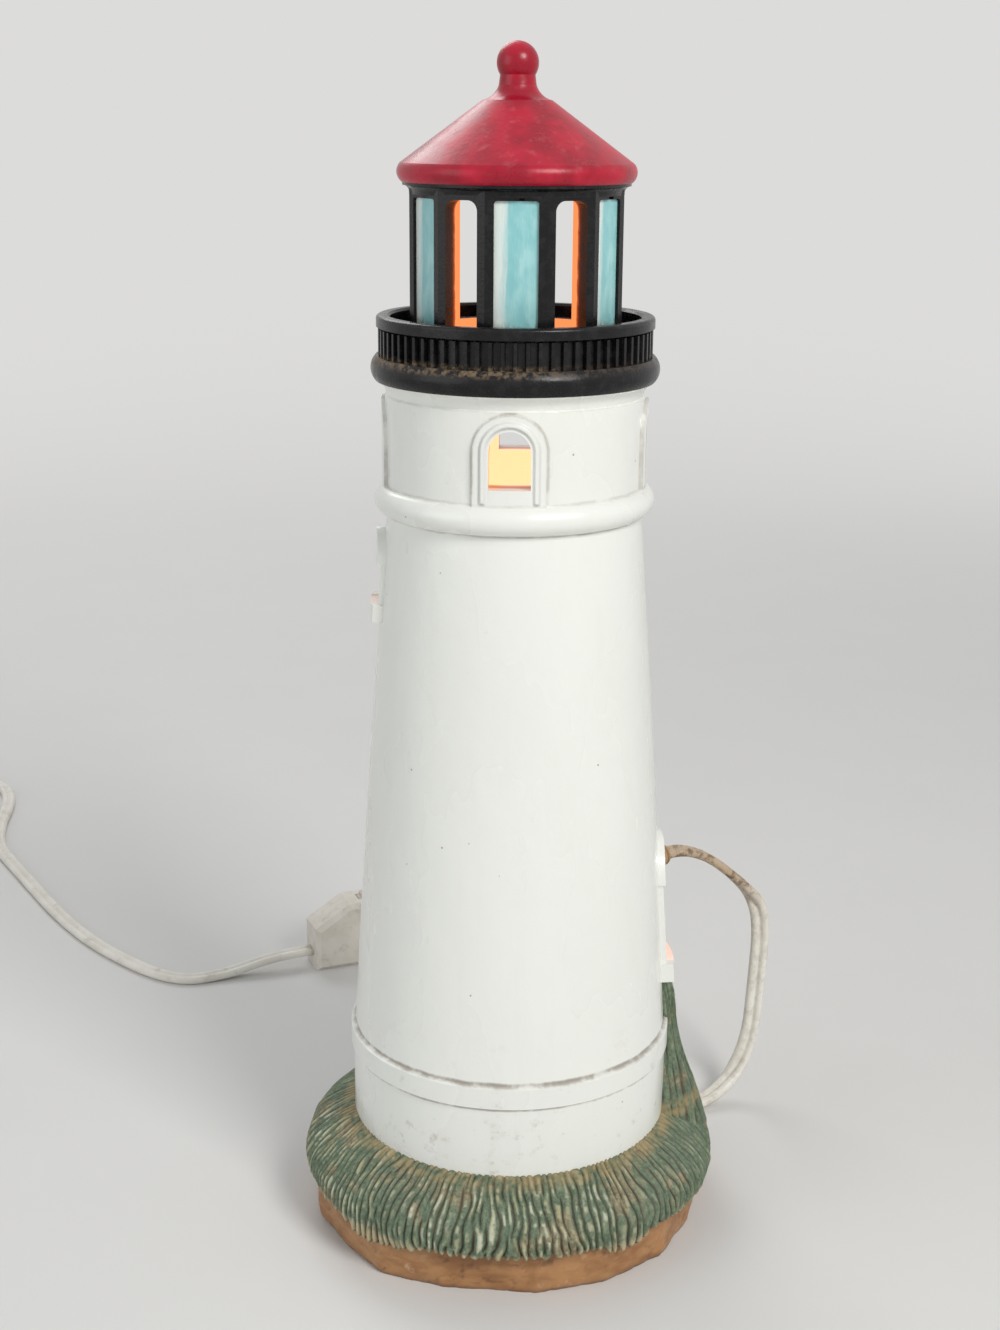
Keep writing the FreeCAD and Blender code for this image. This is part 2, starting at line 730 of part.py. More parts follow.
def make_lantern():
    """Twelve-sided cage with six open windows between six closed sides that take panes."""
    body = new_body("lantern_body")
    sketch = sketch_in(body, "lantern_plan", "XY_Plane", lift=LANTERN_BOTTOM)
    corners = []
    for side in range(6):
        for sign in "-+":
            turn = f"({60 * side} {sign} dim.panel_half_turn)"
            corners.append((f"dim.lantern_radius * sin{turn}",
                            f"-dim.lantern_radius * cos{turn}"))
    draw(sketch, corners)
    pad(body, "lantern_prism", sketch, f"{ROOF_BOTTOM} - {LANTERN_BOTTOM}")
    revolve(body, "lantern_foot", [
        ("dim.light_bore", LANTERN_BOTTOM),
        ("dim.lantern_radius", LANTERN_BOTTOM),
        ("dim.lantern_radius", f"{LANTERN_BOTTOM} + dim.base_ring"),
        ("dim.light_bore", f"{LANTERN_BOTTOM} + dim.base_ring"),
    ])
    revolve(body, "lantern_head", [
        ("dim.light_bore", f"{ROOF_BOTTOM} - dim.head_height * 0.8"),
        ("dim.lantern_radius - 0.4", f"{ROOF_BOTTOM} - dim.head_height * 0.8"),
        through("dim.lantern_radius + 0.1", f"{ROOF_BOTTOM} - dim.head_height * 0.35"),
        ("dim.head_radius", f"{ROOF_BOTTOM} - dim.head_height * 0.2"),
        ("dim.head_radius", ROOF_BOTTOM),
        ("dim.light_bore", ROOF_BOTTOM),
    ])
    bore = sketch_in(body, "lantern_bore_outline", "XY_Plane", lift=LANTERN_BOTTOM)
    draw_circle(bore, "dim.light_bore")
    pocket(body, "lantern_bore", bore, f"{ROOF_BOTTOM} - {LANTERN_BOTTOM}", backwards=True)
    outline = sketch_in(body, "opening_outline", "XZ_Plane", turn=30)
    draw(outline, round_headed(OPENING_HALF, OPENING_BOTTOM, OPENING_TOP,
                               "dim.opening_round"))
    hole = pocket(body, "opening", outline, "dim.lantern_radius * 1.2", backwards=True)
    repeat_round(body, "openings", hole, "6")
    lip = sketch_in(body, "rebate_outline", "XZ_Plane", turn=30,
                    lift="dim.lantern_radius * cos(30 - dim.panel_half_turn)"
                         " - dim.rebate_depth")
    draw(lip, round_headed(f"({OPENING_HALF} + dim.rebate)",
                           f"({OPENING_BOTTOM} - dim.rebate)",
                           f"({OPENING_TOP} + dim.rebate)", "dim.opening_round"))
    step = pocket(body, "rebate_cut", lip, "dim.rebate_depth * 2", backwards=True)
    repeat_round(body, "rebates", step, "6")
    seat = sketch_in(body, "pane_seat_outline", "XZ_Plane",
                     lift=f"{APOTHEM} - dim.pane_recess - dim.pane_thickness")
    draw(seat, round_headed(PANEL_HALF, OPENING_BOTTOM, OPENING_TOP,
                            "dim.opening_round * 0.3"))
    recess = pocket(body, "pane_seat", seat, "dim.pane_recess * 6", backwards=True)
    repeat_round(body, "pane_seats", recess, "6")
    return keep(body, "lantern_frame")


def make_pane(number):
    """One pale pane, seated in its recess."""
    body = new_body(f"pane_body_{number}")
    sketch = sketch_in(body, f"pane_outline_{number}", "XZ_Plane",
                       lift=f"{APOTHEM} - dim.pane_recess - dim.pane_thickness")
    gap = "dim.running_gap"
    draw(sketch, round_headed(f"({PANEL_HALF} - {gap})", f"({OPENING_BOTTOM} + {gap})",
                              f"({OPENING_TOP} - {gap})", "dim.opening_round * 0.3"))
    pad(body, f"pane_{number}", sketch, "dim.pane_thickness")
    body.Placement = Placement(Vector(), Rotation(Vector(0, 0, 1), 60 * (number - 1)))
    return keep(body, f"lantern_pane_{number}")


# ---------------------------------------------------------------- roof
def make_roof():
    """Red roof: a spigot in the lantern's head, a rounded rim, a cone, a neck and a ball."""
    body = new_body("roof_body")
    spigot = "dim.light_bore - dim.fit_gap"
    shoulder = f"({ROOF_BOTTOM} + dim.rim_height)"
    cone_top = f"({shoulder} + dim.roof_cone)"
    neck_top = f"({cone_top} + dim.neck_length)"
    ball = f"({neck_top} + sqrt(dim.ball_radius ^ 2 - dim.neck_radius ^ 2))"
    revolve(body, "roof_turned", [
        ("0", f"{ROOF_BOTTOM} - dim.roof_spigot"),
        (spigot, f"{ROOF_BOTTOM} - dim.roof_spigot"),
        (spigot, ROOF_BOTTOM),
        ("dim.head_radius + 0.2", ROOF_BOTTOM),
        through("dim.rim_radius", f"{ROOF_BOTTOM} + dim.rim_height * 0.5"),
        ("dim.roof_shoulder", shoulder),
        ("dim.roof_top_radius", cone_top),
        through("dim.neck_radius + (dim.roof_top_radius - dim.neck_radius) * 0.3",
                f"{cone_top} + dim.neck_length * 0.3"),
        ("dim.neck_radius + 0.3", f"{cone_top} + dim.neck_length * 0.6"),
        ("dim.neck_radius", neck_top),
        through("dim.ball_radius", ball),
        ("0", f"{ball} + dim.ball_radius"),
    ])
    return keep(body, "roof")


# ---------------------------------------------------------------- lampholder and lamp
BORE_END = "(dim.holder_mouth + 1.5 + dim.shell_length)"
CAP_END = f"({BORE_END} - 3.2)"
CAP_START = f"({CAP_END} - dim.cap_length)"
NECK_END = "(dim.boss_face + dim.holder_flange_thick + dim.holder_neck_length)"


def make_holder():
    """Clip-in lampholder: sleeve, outer flange and the neck that the cord leaves by."""
    body = new_body("holder")
    flange_end = "dim.boss_face + dim.holder_flange_thick"
    bore = "dim.shell_bore + dim.shell_wall + dim.running_gap"
    revolve(body, "holder_turned", [
        (bore, "dim.holder_mouth"),
        ("dim.holder_radius - 0.8", "dim.holder_mouth"),
        ("dim.holder_radius", "dim.holder_mouth + 0.8"),
        ("dim.holder_radius", "dim.boss_face"),
        ("dim.holder_flange", "dim.boss_face"),
        ("dim.holder_flange", f"{flange_end} - 1"),
        ("dim.holder_flange - 1", flange_end),
        ("dim.holder_neck", flange_end),
        ("dim.holder_neck - 0.8", NECK_END),
        ("dim.wire_hole", NECK_END),
        ("dim.wire_hole", BORE_END),
        (bore, BORE_END),
    ])
    keep(on_lamp_axis(body), "holder_body")

    shell = new_body("shell")
    hole = "dim.wire_hole + 0.9"
    revolve(shell, "shell_turned", [
        ("dim.shell_bore", f"{BORE_END} - dim.shell_length"),
        ("dim.shell_bore + dim.shell_wall", f"{BORE_END} - dim.shell_length"),
        ("dim.shell_bore + dim.shell_wall", BORE_END),
        (hole, BORE_END),
        (hole, f"{BORE_END} - dim.shell_wall"),
        ("dim.shell_bore", f"{BORE_END} - dim.shell_wall"),
    ])
    keep(on_lamp_axis(shell), "screw_shell")

    contact = new_body("contact")
    revolve(contact, "contact_turned", [
        ("0", f"{BORE_END} - 0.8"),
        ("dim.wire_hole * 0.7", f"{BORE_END} - 0.8"),
        ("dim.wire_hole + 0.5", f"{BORE_END} - 0.3"),
        ("dim.wire_hole + 0.5", BORE_END),
        ("0", BORE_END),
    ])
    keep(on_lamp_axis(contact), "centre_contact")


def make_clips():
    """Two leaf springs that lie on the sleeve and catch behind the tower's wall."""
    near = "dim.holder_radius + 0.05"
    far = f"({near} + dim.clip_thick)"
    root = "dim.boss_face - 0.2"
    tip = "dim.holder_mouth + 4"
    catch = "dim.boss_face - dim.tower_wall * 1.65"
    pair = []
    for sign in ("", "-"):
        side = "top" if sign else "bottom"
        sketch = doc.addObject("Sketcher::SketchObject", f"clip_outline_{side}")
        sketch.Placement = Placement(Vector(), Rotation(Vector(1, 0, 0), 90))
        draw(sketch, [
            (f"{sign}({near})", root), (f"{sign}({far})", root),
            (f"{sign}({far})", f"{tip} + 1.2"),
            (f"{sign}(dim.clip_catch)", catch),
            (f"{sign}(dim.clip_catch + dim.clip_thick)", f"{catch} - 0.6"),
            (f"{sign}({far})", tip), (f"{sign}({near})", tip),
        ])
        leaf = doc.addObject("Part::Extrusion", f"clip_{side}")
        leaf.Base = sketch
        leaf.DirMode = "Normal"
        leaf.Solid = True
        leaf.Symmetric = True
        leaf.setExpression("LengthFwd", "dim.clip_width")
        pair.append(leaf)
    group = doc.addObject("Part::Compound", "clip_pair")
    group.Links = pair
    return keep(on_lamp_axis(group), "spring_clips")


def make_relief():
    """Ribbed, tapered sleeve that guards the cord where it leaves the lampholder."""
    body = new_body("relief")
    steps = [("0", NECK_END), ("dim.relief_radius", NECK_END)]
    ribs = 5
    for rib in range(ribs):
        start, stop = (rib + 0.45) / ribs, (rib + 0.8) / ribs
        wide = f"dim.relief_radius + (dim.relief_tip - dim.relief_radius) * {start:g}"
        slim = f"dim.relief_radius + (dim.relief_tip - dim.relief_radius) * {stop:g}"
        steps += [
            (wide, f"{NECK_END} + dim.relief_length * {start:g}"),
            (f"{wide} - 0.7", f"{NECK_END} + dim.relief_length * {start + 0.03:g}"),
            (f"{slim} - 0.7", f"{NECK_END} + dim.relief_length * {stop - 0.03:g}"),
            (slim, f"{NECK_END} + dim.relief_length * {stop:g}"),
        ]
    steps += [
        ("dim.relief_tip", f"{NECK_END} + dim.relief_length"),
        ("0", f"{NECK_END} + dim.relief_length"),
    ]
    revolve(body, "relief_turned", steps)
    return keep(on_lamp_axis(body), "strain_relief")


def make_lamp():
    """Small screw-cap lamp: glass, cap, insulator, end contact, stem and filament."""
    inner = "(dim.cap_radius - dim.cap_wall)"
    neck = f"({inner} - dim.running_gap)"
    fat = f"({CAP_START} - dim.bulb_length * 0.5)"
    tip = f"({CAP_START} - dim.bulb_length)"
    wall = "dim.glass_wall"

    glass = new_body("glass")
    revolve(glass, "glass_turned", [
        (f"{neck} - {wall}", f"{CAP_END} - 1.6"),
        (neck, f"{CAP_END} - 1.6"),
        (neck, CAP_START),
        through(f"({neck} + dim.bulb_radius) / 2 + 0.7", f"({CAP_START} + {fat}) / 2"),
        ("dim.bulb_radius", fat),
        through("dim.bulb_radius * 0.78", f"{fat} - ({fat} - {tip}) * 0.62"),
        ("0", tip),
        ("0", f"{tip} + {wall}"),
        through(f"dim.bulb_radius * 0.78 - {wall}",
                f"{fat} - ({fat} - {tip}) * 0.62 + {wall} * 0.6"),
        (f"dim.bulb_radius - {wall}", fat),
        through(f"({neck} + dim.bulb_radius) / 2 + 0.7 - {wall}",
                f"({CAP_START} + {fat}) / 2"),
        (f"{neck} - {wall}", CAP_START),
    ])
    keep(on_lamp_axis(glass), "bulb_glass")

    cap = new_body("cap")
    revolve(cap, "cap_turned", [
        (inner, CAP_START), ("dim.cap_radius", CAP_START),
        ("dim.cap_radius", CAP_END), (inner, CAP_END),
    ])
    keep(on_lamp_axis(cap), "bulb_cap")

    insulator = new_body("insulator")
    revolve(insulator, "insulator_turned", [
        ("0", f"{CAP_END} - 0.8"), (neck, f"{CAP_END} - 0.8"), (neck, CAP_END),
        (f"{neck} * 0.42", f"{CAP_END} + 1.2"), ("0", f"{CAP_END} + 1.2"),
    ])
    keep(on_lamp_axis(insulator), "bulb_insulator")

    eyelet = new_body("eyelet")
    revolve(eyelet, "eyelet_turned", [
        ("0", f"{CAP_END} + 1.2"), (f"{neck} * 0.4", f"{CAP_END} + 1.2"),
        (f"{neck} * 0.28", f"{BORE_END} - 0.9"), ("0", f"{BORE_END} - 0.9"),
    ])
    keep(on_lamp_axis(eyelet), "bulb_contact")

    stem = new_body("stem")
    stem_tip = f"({CAP_START} - dim.bulb_length * 0.22)"
    revolve(stem, "stem_turned", [
        ("0", f"{CAP_END} - 2"), (f"{neck} - {wall} - 0.1", f"{CAP_END} - 2"),
        (f"{neck} - {wall} - 0.1", f"{CAP_END} - 2.8"),
        (f"{neck} * 0.4", f"{CAP_START} + 2"), (f"{neck} * 0.26", stem_tip),
        ("0", stem_tip),
    ])
    keep(on_lamp_axis(stem), "bulb_stem")

    start = amount(stem_tip)
    spread = amount("dim.bulb_radius") * 0.5
    reach = start - amount("dim.bulb_length") * 0.2
    filament, _, _ = sweep("filament", [
        Vector(0.9, 0, start), Vector(spread, 0, reach),
        Vector(0, 0, reach - spread * 0.6), Vector(-spread, 0, reach),
        Vector(-0.9, 0, start),
    ], amount("dim.filament_wire"))
    keep(on_lamp_axis(filament), "bulb_filament")


# ---------------------------------------------------------------- cord
def tube(label, route):
    """A length of cord, with its length, tightest arc and volume printed."""
    size = amount("dim.cord_diameter")
    made, length, radii = sweep(label + "_tube", route, size)
    expected = math.pi * size**2 / 4 * length
    print(f"{label}: {length:.0f} mm, tightest arc {min(radii):.1f} mm, volume"
          f" {made.Shape.Volume / expected:.4f} of section x length")
    keep(made, label)
    return length


def arc_from(start, heading, stop):
    """The arc that leaves start along heading and reaches stop, with its end heading."""
    chord = stop - start
    along = unit(chord)
    aside = heading - along * heading.dot(along)
    if aside.Length < 1e-9:
        return Part.LineSegment(start, stop).toShape()
    lean = heading.getAngle(along)
    middle = start + chord / 2 + unit(aside) * (chord.Length / 2 * math.tan(lean / 2))
    return Part.Arc(start, middle, stop).toShape()


def biarc(start, heading, stop, last_heading):
    """Two arcs that meet smoothly and keep the headings at both ends."""
    gap = stop - start
    both = heading + last_heading
    spread = 2 * (1 - heading.dot(last_heading))
    if spread < 1e-9:
        arm = gap.dot(gap) / (4 * gap.dot(last_heading))
    else:
        forward = gap.dot(both)
        arm = (-forward + math.sqrt(forward**2 + spread * gap.dot(gap))) / spread
    meeting = (start + stop + (heading - last_heading) * arm) / 2
    first = arc_from(start, heading, meeting)
    second = arc_from(stop, last_heading * -1, meeting)
    return [first, second]


COIL_TURNS = 5.5
COIL_SETTLE = 0.5


def coil_place(turns):
    """Where the coil's middle line is after so many turns: in, up a layer, out again."""
    mean, pitch = amount("dim.coil_radius"), amount("dim.coil_pitch")
    wound = (COIL_TURNS - COIL_SETTLE) / 2
    widest = mean + pitch * wound / 2
    inward = min(turns, wound)
    outward = max(0, turns - wound - COIL_SETTLE)
    share = min(1, max(0, (turns - wound) / COIL_SETTLE))
    dip = 0.25 * pitch * COIL_SETTLE * math.sin(math.pi * share)
    radius = widest - pitch * (inward - outward) - dip
    height = amount("dim.cord_diameter / 2 + 0.01")
    height += amount("dim.coil_layer") * share * share * (3 - 2 * share)
    angle = math.radians(COIL_HEADING - 90) + 2 * math.pi * turns
    centre = coil_centre()
    return centre + Vector(radius * math.cos(angle), radius * math.sin(angle), height)


def coil_centre():
    widest = amount("dim.coil_radius") + amount("dim.coil_pitch") * (
        COIL_TURNS - COIL_SETTLE) / 4
    angle = math.radians(COIL_HEADING - 90)
    return COIL_ENTRY - Vector(widest * math.cos(angle), widest * math.sin(angle), 0)


def coil_heading(turns):
    step = 0.01
    return unit(coil_place(turns + step) - coil_place(turns - step))


def make_coil():
    """The put-away length: one tube that spirals in, climbs and spirals out again."""
    size = amount("dim.cord_diameter")
    quarters = int(COIL_TURNS * 4)
    stops = [quarter / 4 for quarter in range(quarters + 1)]
    places = [coil_place(turns) for turns in stops]
    headings = [coil_heading(turns) for turns in stops]
    headings[0] = unit(Vector(headings[0].x, headings[0].y, 0))
    headings[-1] = unit(Vector(headings[-1].x, headings[-1].y, 0))
    edges = [Part.LineSegment(places[0] - headings[0] * size, places[0]).toShape()]
    for i in range(quarters):
        edges += biarc(places[i], headings[i], places[i + 1], headings[i + 1])
    edges.append(Part.LineSegment(places[-1], places[-1] + headings[-1] * size).toShape())
    path = Part.Wire(Part.__sortEdges__(edges))
    ring = Part.Wire([Part.makeCircle(size / 2, places[0] - headings[0] * size,
                                      headings[0])])
    coil = doc.addObject("Part::Feature", "coil_tube")
    coil.Shape = path.makePipeShell([ring], True, False)
    samples = [coil_place(COIL_TURNS * i / 600) for i in range(601)]
    apart = int(600 / COIL_TURNS * 0.5)
    least = min((samples[i] - samples[j]).Length
                for i in range(601) for j in range(i + apart, 601))
    print(f"cord_coil: {path.Length:.0f} mm, least gap to itself {least - size:.2f} mm,"
          f" volume {coil.Shape.Volume / (math.pi * size**2 / 4 * path.Length):.4f}"
          " of section x length")
    keep(coil, "cord_coil")
    return path.Length, places, headings


def turned(direction, degrees):
    return Rotation(Vector(0, 0, 1), degrees).multVec(direction)


def make_cord():
    """The lead from the lampholder to the switch, and on to the coil and the plug.

    Gives back the place and heading of the cord's end in the plug.
    """
    relief_end = lamp_axis() * amount(f"{NECK_END} + dim.relief_length")
    relief_end.z = amount("dim.lamp_height")
    rest = amount("dim.cord_diameter / 2 + 0.01")
    entry = amount("dim.switch_entry")
    along = turned(Vector(1, 0, 0), SWITCH_TURN)
    near_end = SWITCH_CORNER + turned(along, 90) * amount("dim.switch_thick / 2")
    near_end.z = entry
    far_end = near_end + along * amount("dim.switch_length")
    loop = [relief_end, relief_end + lamp_axis() * 13]
    loop += [Vector(*point) for point in LOOP_ROUTE]
    loop += [Vector(x, y, rest) for x, y in BACK_ROUTE]
    loop += [far_end + along * 16, far_end]
    total = tube("cord_loop", loop)

    coil_length, places, headings = make_coil()
    lead_in = headings[0] * amount("dim.cord_diameter")
    run = [near_end, near_end - along * 14]
    run += [Vector(x, y, rest) for x, y in LEFT_ROUTE]
    run += [places[0] - lead_in - headings[0] * 26, places[0] - lead_in]
    total += tube("cord_run", run)

    coil_end = places[-1] + headings[-1] * amount("dim.cord_diameter")
    sideways = turned(headings[-1], -13)
    nose = turned(headings[-1], -26)
    off_coil = coil_end + headings[-1] * 22
    before_plug = off_coil + sideways * 30
    before_plug.z = amount("dim.plug_thick / 2")
    plug_place = before_plug + nose * 18
    total += tube("cord_tail", [coil_end, off_coil, before_plug, plug_place])
    total += coil_length + amount("dim.switch_length")
    print(f"cord from the lampholder to the plug: {total:.0f} mm")
    return plug_place, math.degrees(math.atan2(nose.y, nose.x))


# ---------------------------------------------------------------- cord switch
def switch_outline(sketch):
    """The side view: straight lower edge, low ends and a raised middle."""
    length, end, middle = "dim.switch_length", "dim.switch_end", "dim.switch_middle"
    draw(sketch, [
        ("0", "0"), (length, "0"), (length, end),
        (f"{length} - dim.switch_slope", middle), ("dim.switch_slope", middle),
        ("0", end),
    ])


def stand_switch(thing):
    """Sets a piece of the switch where the switch stands."""
    thing.Placement = Placement(SWITCH_CORNER, Rotation(Vector(0, 0, 1), SWITCH_TURN))
    return thing


def edges_at(shape, where):
    """Names of the edges all of whose points pass a test."""
    return [f"Edge{i}" for i, edge in enumerate(shape.Edges, 1)
            if all(where(v.Point) for v in edge.Vertexes)]


def make_switch_half(name, back):
    """One half of the switch's shell, with half of the wheel's room in it."""
    body = new_body(name + "_body")
    half = "dim.switch_thick / 2"
    lift = f"-({half})"
    outline = sketch_in(body, name + "_outline", "XZ_Plane", lift=lift)
    switch_outline(outline)
    shell = pad(body, name + "_pad", outline, half, backwards=back)
    doc.recompute()
    face = amount("dim.switch_thick") if back else 0.0
    bevel = body.newObject("PartDesign::Chamfer", name + "_bevel")
    bevel.Base = (shell, edges_at(shell.Shape, lambda p: abs(p.y - face) < 1e-6
                                  and shell.Shape.BoundBox.ZMax >= p.z > -1))
    bevel.setExpression("Size", "dim.switch_bevel")
    room = sketch_in(body, name + "_wheel_room", "XZ_Plane", lift=lift)
    draw_circle(room, "dim.wheel_radius + dim.wheel_gap", "dim.switch_length / 2",
                "dim.wheel_centre")
    pocket(body, name + "_room", room, "dim.wheel_thick / 2 + dim.wheel_gap",
           backwards=not back)
    chamber = sketch_in(body, name + "_chamber_outline", "XZ_Plane", lift=lift)
    draw(chamber, [
        ("dim.screw_inset + 4", "2.4"), ("dim.switch_length - dim.screw_inset - 4", "2.4"),
        ("dim.switch_length - dim.screw_inset - 4", "dim.switch_entry + 3"),
        ("dim.screw_inset + 4", "dim.switch_entry + 3"),
    ])
    pocket(body, name + "_chamber", chamber, "dim.switch_thick / 4", backwards=not back)
    for side, across in (("a", "dim.screw_inset"),
                         ("b", "dim.switch_length - dim.screw_inset")):
        hole = sketch_in(body, f"{name}_hole_outline_{side}", "XZ_Plane", lift=lift)
        radius = "dim.screw_radius + 0.2" if back else "dim.screw_radius + 0.05"
        draw_circle(hole, radius, across, "dim.switch_entry + dim.screw_rise")
        depth = "dim.switch_thick" if back else "dim.switch_thick / 2 - 2"
        pocket(body, f"{name}_hole_{side}", hole, depth, backwards=not back)
        if back:
            sink = sketch_in(body, f"{name}_sink_outline_{side}", "XZ_Plane",
                             lift="-dim.switch_thick")
            draw_circle(sink, "dim.screw_head + 0.2", across,
                        "dim.switch_entry + dim.screw_rise")
            pocket(body, f"{name}_sink_{side}", sink, "dim.switch_thick / 6",
                   backwards=True)
    if back:
        axle = sketch_in(body, name + "_axle_outline", "XZ_Plane",
                         lift="-(dim.switch_thick + dim.wheel_thick) / 2 - dim.wheel_gap")
        draw_circle(axle, "dim.axle_radius", "dim.switch_length / 2", "dim.wheel_centre")
        pad(body, name + "_axle", axle, "dim.wheel_thick + dim.wheel_gap * 2")
    return keep(stand_switch(body), name)


def make_wheel():
    """Ribbed thumbwheel on the axle of the switch's back half."""
    body = new_body("wheel_body")
    rim = sketch_in(body, "wheel_rim", "XY_Plane")
    draw_circle(rim, "dim.wheel_radius")
    pad(body, "wheel_disc", rim, "dim.wheel_thick", midplane=True)
    bore = sketch_in(body, "wheel_bore_outline", "XY_Plane")
    draw_circle(bore, "dim.axle_radius + dim.running_gap")
    pocket(body, "wheel_bore", bore, "dim.wheel_thick * 2", midplane=True)
    notch = sketch_in(body, "wheel_notch_outline", "XY_Plane")
    draw_circle(notch, "dim.wheel_radius * 0.08", "dim.wheel_radius * 1.02")
    dent = pocket(body, "wheel_notch", notch, "dim.wheel_thick * 2", midplane=True)
    repeat_round(body, "wheel_notches", dent, "24")
    tilt = Rotation(Vector(1, 0, 0), 90)
    swing = Rotation(Vector(0, 0, 1), SWITCH_TURN)
    inside = Vector(amount("dim.switch_length / 2"), amount("dim.switch_thick / 2"),
                    amount("dim.wheel_centre"))
    body.Placement = Placement(SWITCH_CORNER + swing.multVec(inside),
                               swing.multiply(tilt))
    return keep(body, "switch_wheel")


def make_switch_small_parts():
    """The screws that close the switch and the spring contacts below its wheel."""
    screws = []
    for side, across in (("a", "dim.screw_inset"),
                         ("b", "dim.switch_length - dim.screw_inset")):
        body = new_body(f"screw_{side}")
        head = "dim.switch_thick * 5 / 6"
        revolve(body, f"screw_turned_{side}", [
            ("0", "dim.switch_thick * 0.3"),
            ("dim.screw_radius", "dim.switch_thick * 0.3"),
            ("dim.screw_radius", head),
            ("dim.screw_head", head),
            ("dim.screw_head", f"{head} + 0.9"),
            ("dim.screw_head - 0.7", f"{head} + 1.5"),
            ("0", f"{head} + 1.5"),
        ])
        tilt = Rotation(Vector(1, 0, 0), -90)
        place = Vector(amount(across), 0, amount("dim.switch_entry + dim.screw_rise"))
        swing = Rotation(Vector(0, 0, 1), SWITCH_TURN)
        body.Placement = Placement(SWITCH_CORNER + swing.multVec(place),
                                   swing.multiply(tilt))
        screws.append(body)
    group = doc.addObject("Part::Compound", "screw_pair")
    group.Links = screws
    keep(group, "switch_screws")

    leaves = []
    for side, sign in (("a", "-"), ("b", "+")):
        sketch = doc.addObject("Sketcher::SketchObject", f"leaf_outline_{side}")
        sketch.Placement = Placement(Vector(0, amount("dim.switch_thick / 2"), 0),
                                     Rotation(Vector(1, 0, 0), 90))
        middle = f"dim.switch_length / 2 {sign} "
        top = "dim.switch_entry + 2.2"
        draw(sketch, [
            (f"{middle}3", "3"), (f"{middle}11", "3"), (f"{middle}11", "3.6"),
            (f"{middle}4.2", "3.6"), (f"{middle}3", top), (f"{middle}2.4", top),
        ])
        leaf = doc.addObject("Part::Extrusion", f"leaf_{side}")
        leaf.Base = sketch
        leaf.DirMode = "Normal"
        leaf.Solid = True
        leaf.Symmetric = True
        leaf.setExpression("LengthFwd", "dim.switch_thick / 3")
        leaves.append(leaf)
    pair = doc.addObject("Part::Compound", "leaf_pair")
    pair.Links = leaves
    keep(stand_switch(pair), "switch_contacts")


# ---------------------------------------------------------------- plug
def make_plug(place, heading):
    """Two-pin plug: a waisted grip with two flat blades seated in it."""
    body = new_body("plug")
    outline = sketch_in(body, "plug_outline", "XY_Plane")
    wide, slim = "dim.plug_width / 2", "dim.plug_thick * 0.36"
    draw(outline, [
        ("0", f"-{slim}"), ("dim.plug_length * 0.24", f"-{slim} * 1.15"),
        through("dim.plug_length * 0.36", f"-({wide}) * 0.62"),
        ("dim.plug_length * 0.52", f"-{wide}"),
        ("dim.plug_length", f"-{wide}"), ("dim.plug_length", wide),
        ("dim.plug_length * 0.52", wide),
        through("dim.plug_length * 0.36", f"({wide}) * 0.62"),
        ("dim.plug_length * 0.24", f"{slim} * 1.15"), ("0", slim),
    ])
    grip = pad(body, "plug_grip", outline, "dim.plug_thick", midplane=True)
    doc.recompute()
    level = amount("dim.plug_thick") / 2
    soften = body.newObject("PartDesign::Chamfer", "plug_bevel")
    soften.Base = (grip, edges_at(grip.Shape, lambda p: abs(abs(p.z) - level) < 1e-6))
    soften.Size = 1.4
    sockets = sketch_in(body, "blade_sockets", "YZ_Plane", lift="dim.plug_length")
    for sign in ("-", "+"):
        middle = f"{sign}dim.blade_spacing / 2"
        thick = "dim.blade_thick / 2 + dim.running_gap"
        tall = "dim.blade_width / 2 + dim.running_gap"
        draw(sockets, [
            (f"{middle} - ({thick})", f"-({tall})"), (f"{middle} + {thick}", f"-({tall})"),
            (f"{middle} + {thick}", tall), (f"{middle} - ({thick})", tall),
        ])
    pocket(body, "blade_pockets", sockets, "dim.blade_root")
    body.Placement = Placement(place, Rotation(Vector(0, 0, 1), heading))
    keep(body, "plug_body")
    for name, sign in (("plug_blade_left", "+"), ("plug_blade_right", "-")):
        blade = new_body(name + "_body")
        side = sketch_in(blade, name + "_outline", "XZ_Plane",
                         lift=f"-({sign}dim.blade_spacing / 2)")
        low, high = "-dim.blade_width / 2", "dim.blade_width / 2"
        end = "dim.plug_length + dim.blade_length"
        draw(side, [
            ("dim.plug_length - dim.blade_root", low), (f"{end} - 1.2", low),
            (end, f"{low} + 1.2"), (end, f"{high} - 1.2"), (f"{end} - 1.2", high),
            ("dim.plug_length - dim.blade_root", high),
        ])
        pad(blade, name + "_pad", side, "dim.blade_thick", midplane=True)
        hole = sketch_in(blade, name + "_hole_outline", "XZ_Plane",
                         lift=f"-({sign}dim.blade_spacing / 2)")
        draw_circle(hole, "dim.blade_width / 4", f"{end} - dim.blade_length * 0.22")
        pocket(blade, name + "_hole", hole, "dim.blade_thick * 2", midplane=True)
        blade.Placement = body.Placement
        keep(blade, name)


# ---------------------------------------------------------------- build and write
make_rock()
make_mound()
make_tower()
make_gallery()
make_lantern()
for pane in range(1, 7):
    make_pane(pane)
make_roof()
make_holder()
make_clips()
make_relief()
make_lamp()
plug_place, plug_heading = make_cord()
make_switch_half("switch_shell_front", back=False)
make_switch_half("switch_shell_back", back=True)
make_wheel()
make_switch_small_parts()
make_plug(plug_place, plug_heading)
doc.recompute()

for thing in doc.Objects:
    if {"Invalid", "Error"} & set(thing.State):
        raise RuntimeError(f"{thing.Label} failed: {thing.State}")
for node in nodes:
    if node.Shape.isNull() or not node.Shape.isValid():
        raise RuntimeError(f"{node.Label} has no valid shape")
os.makedirs("parts", exist_ok=True)
for node in nodes:
    node.Shape.exportStep(f"parts/{node.Label}.step")
print(f"{len(nodes)} sub-parts written")
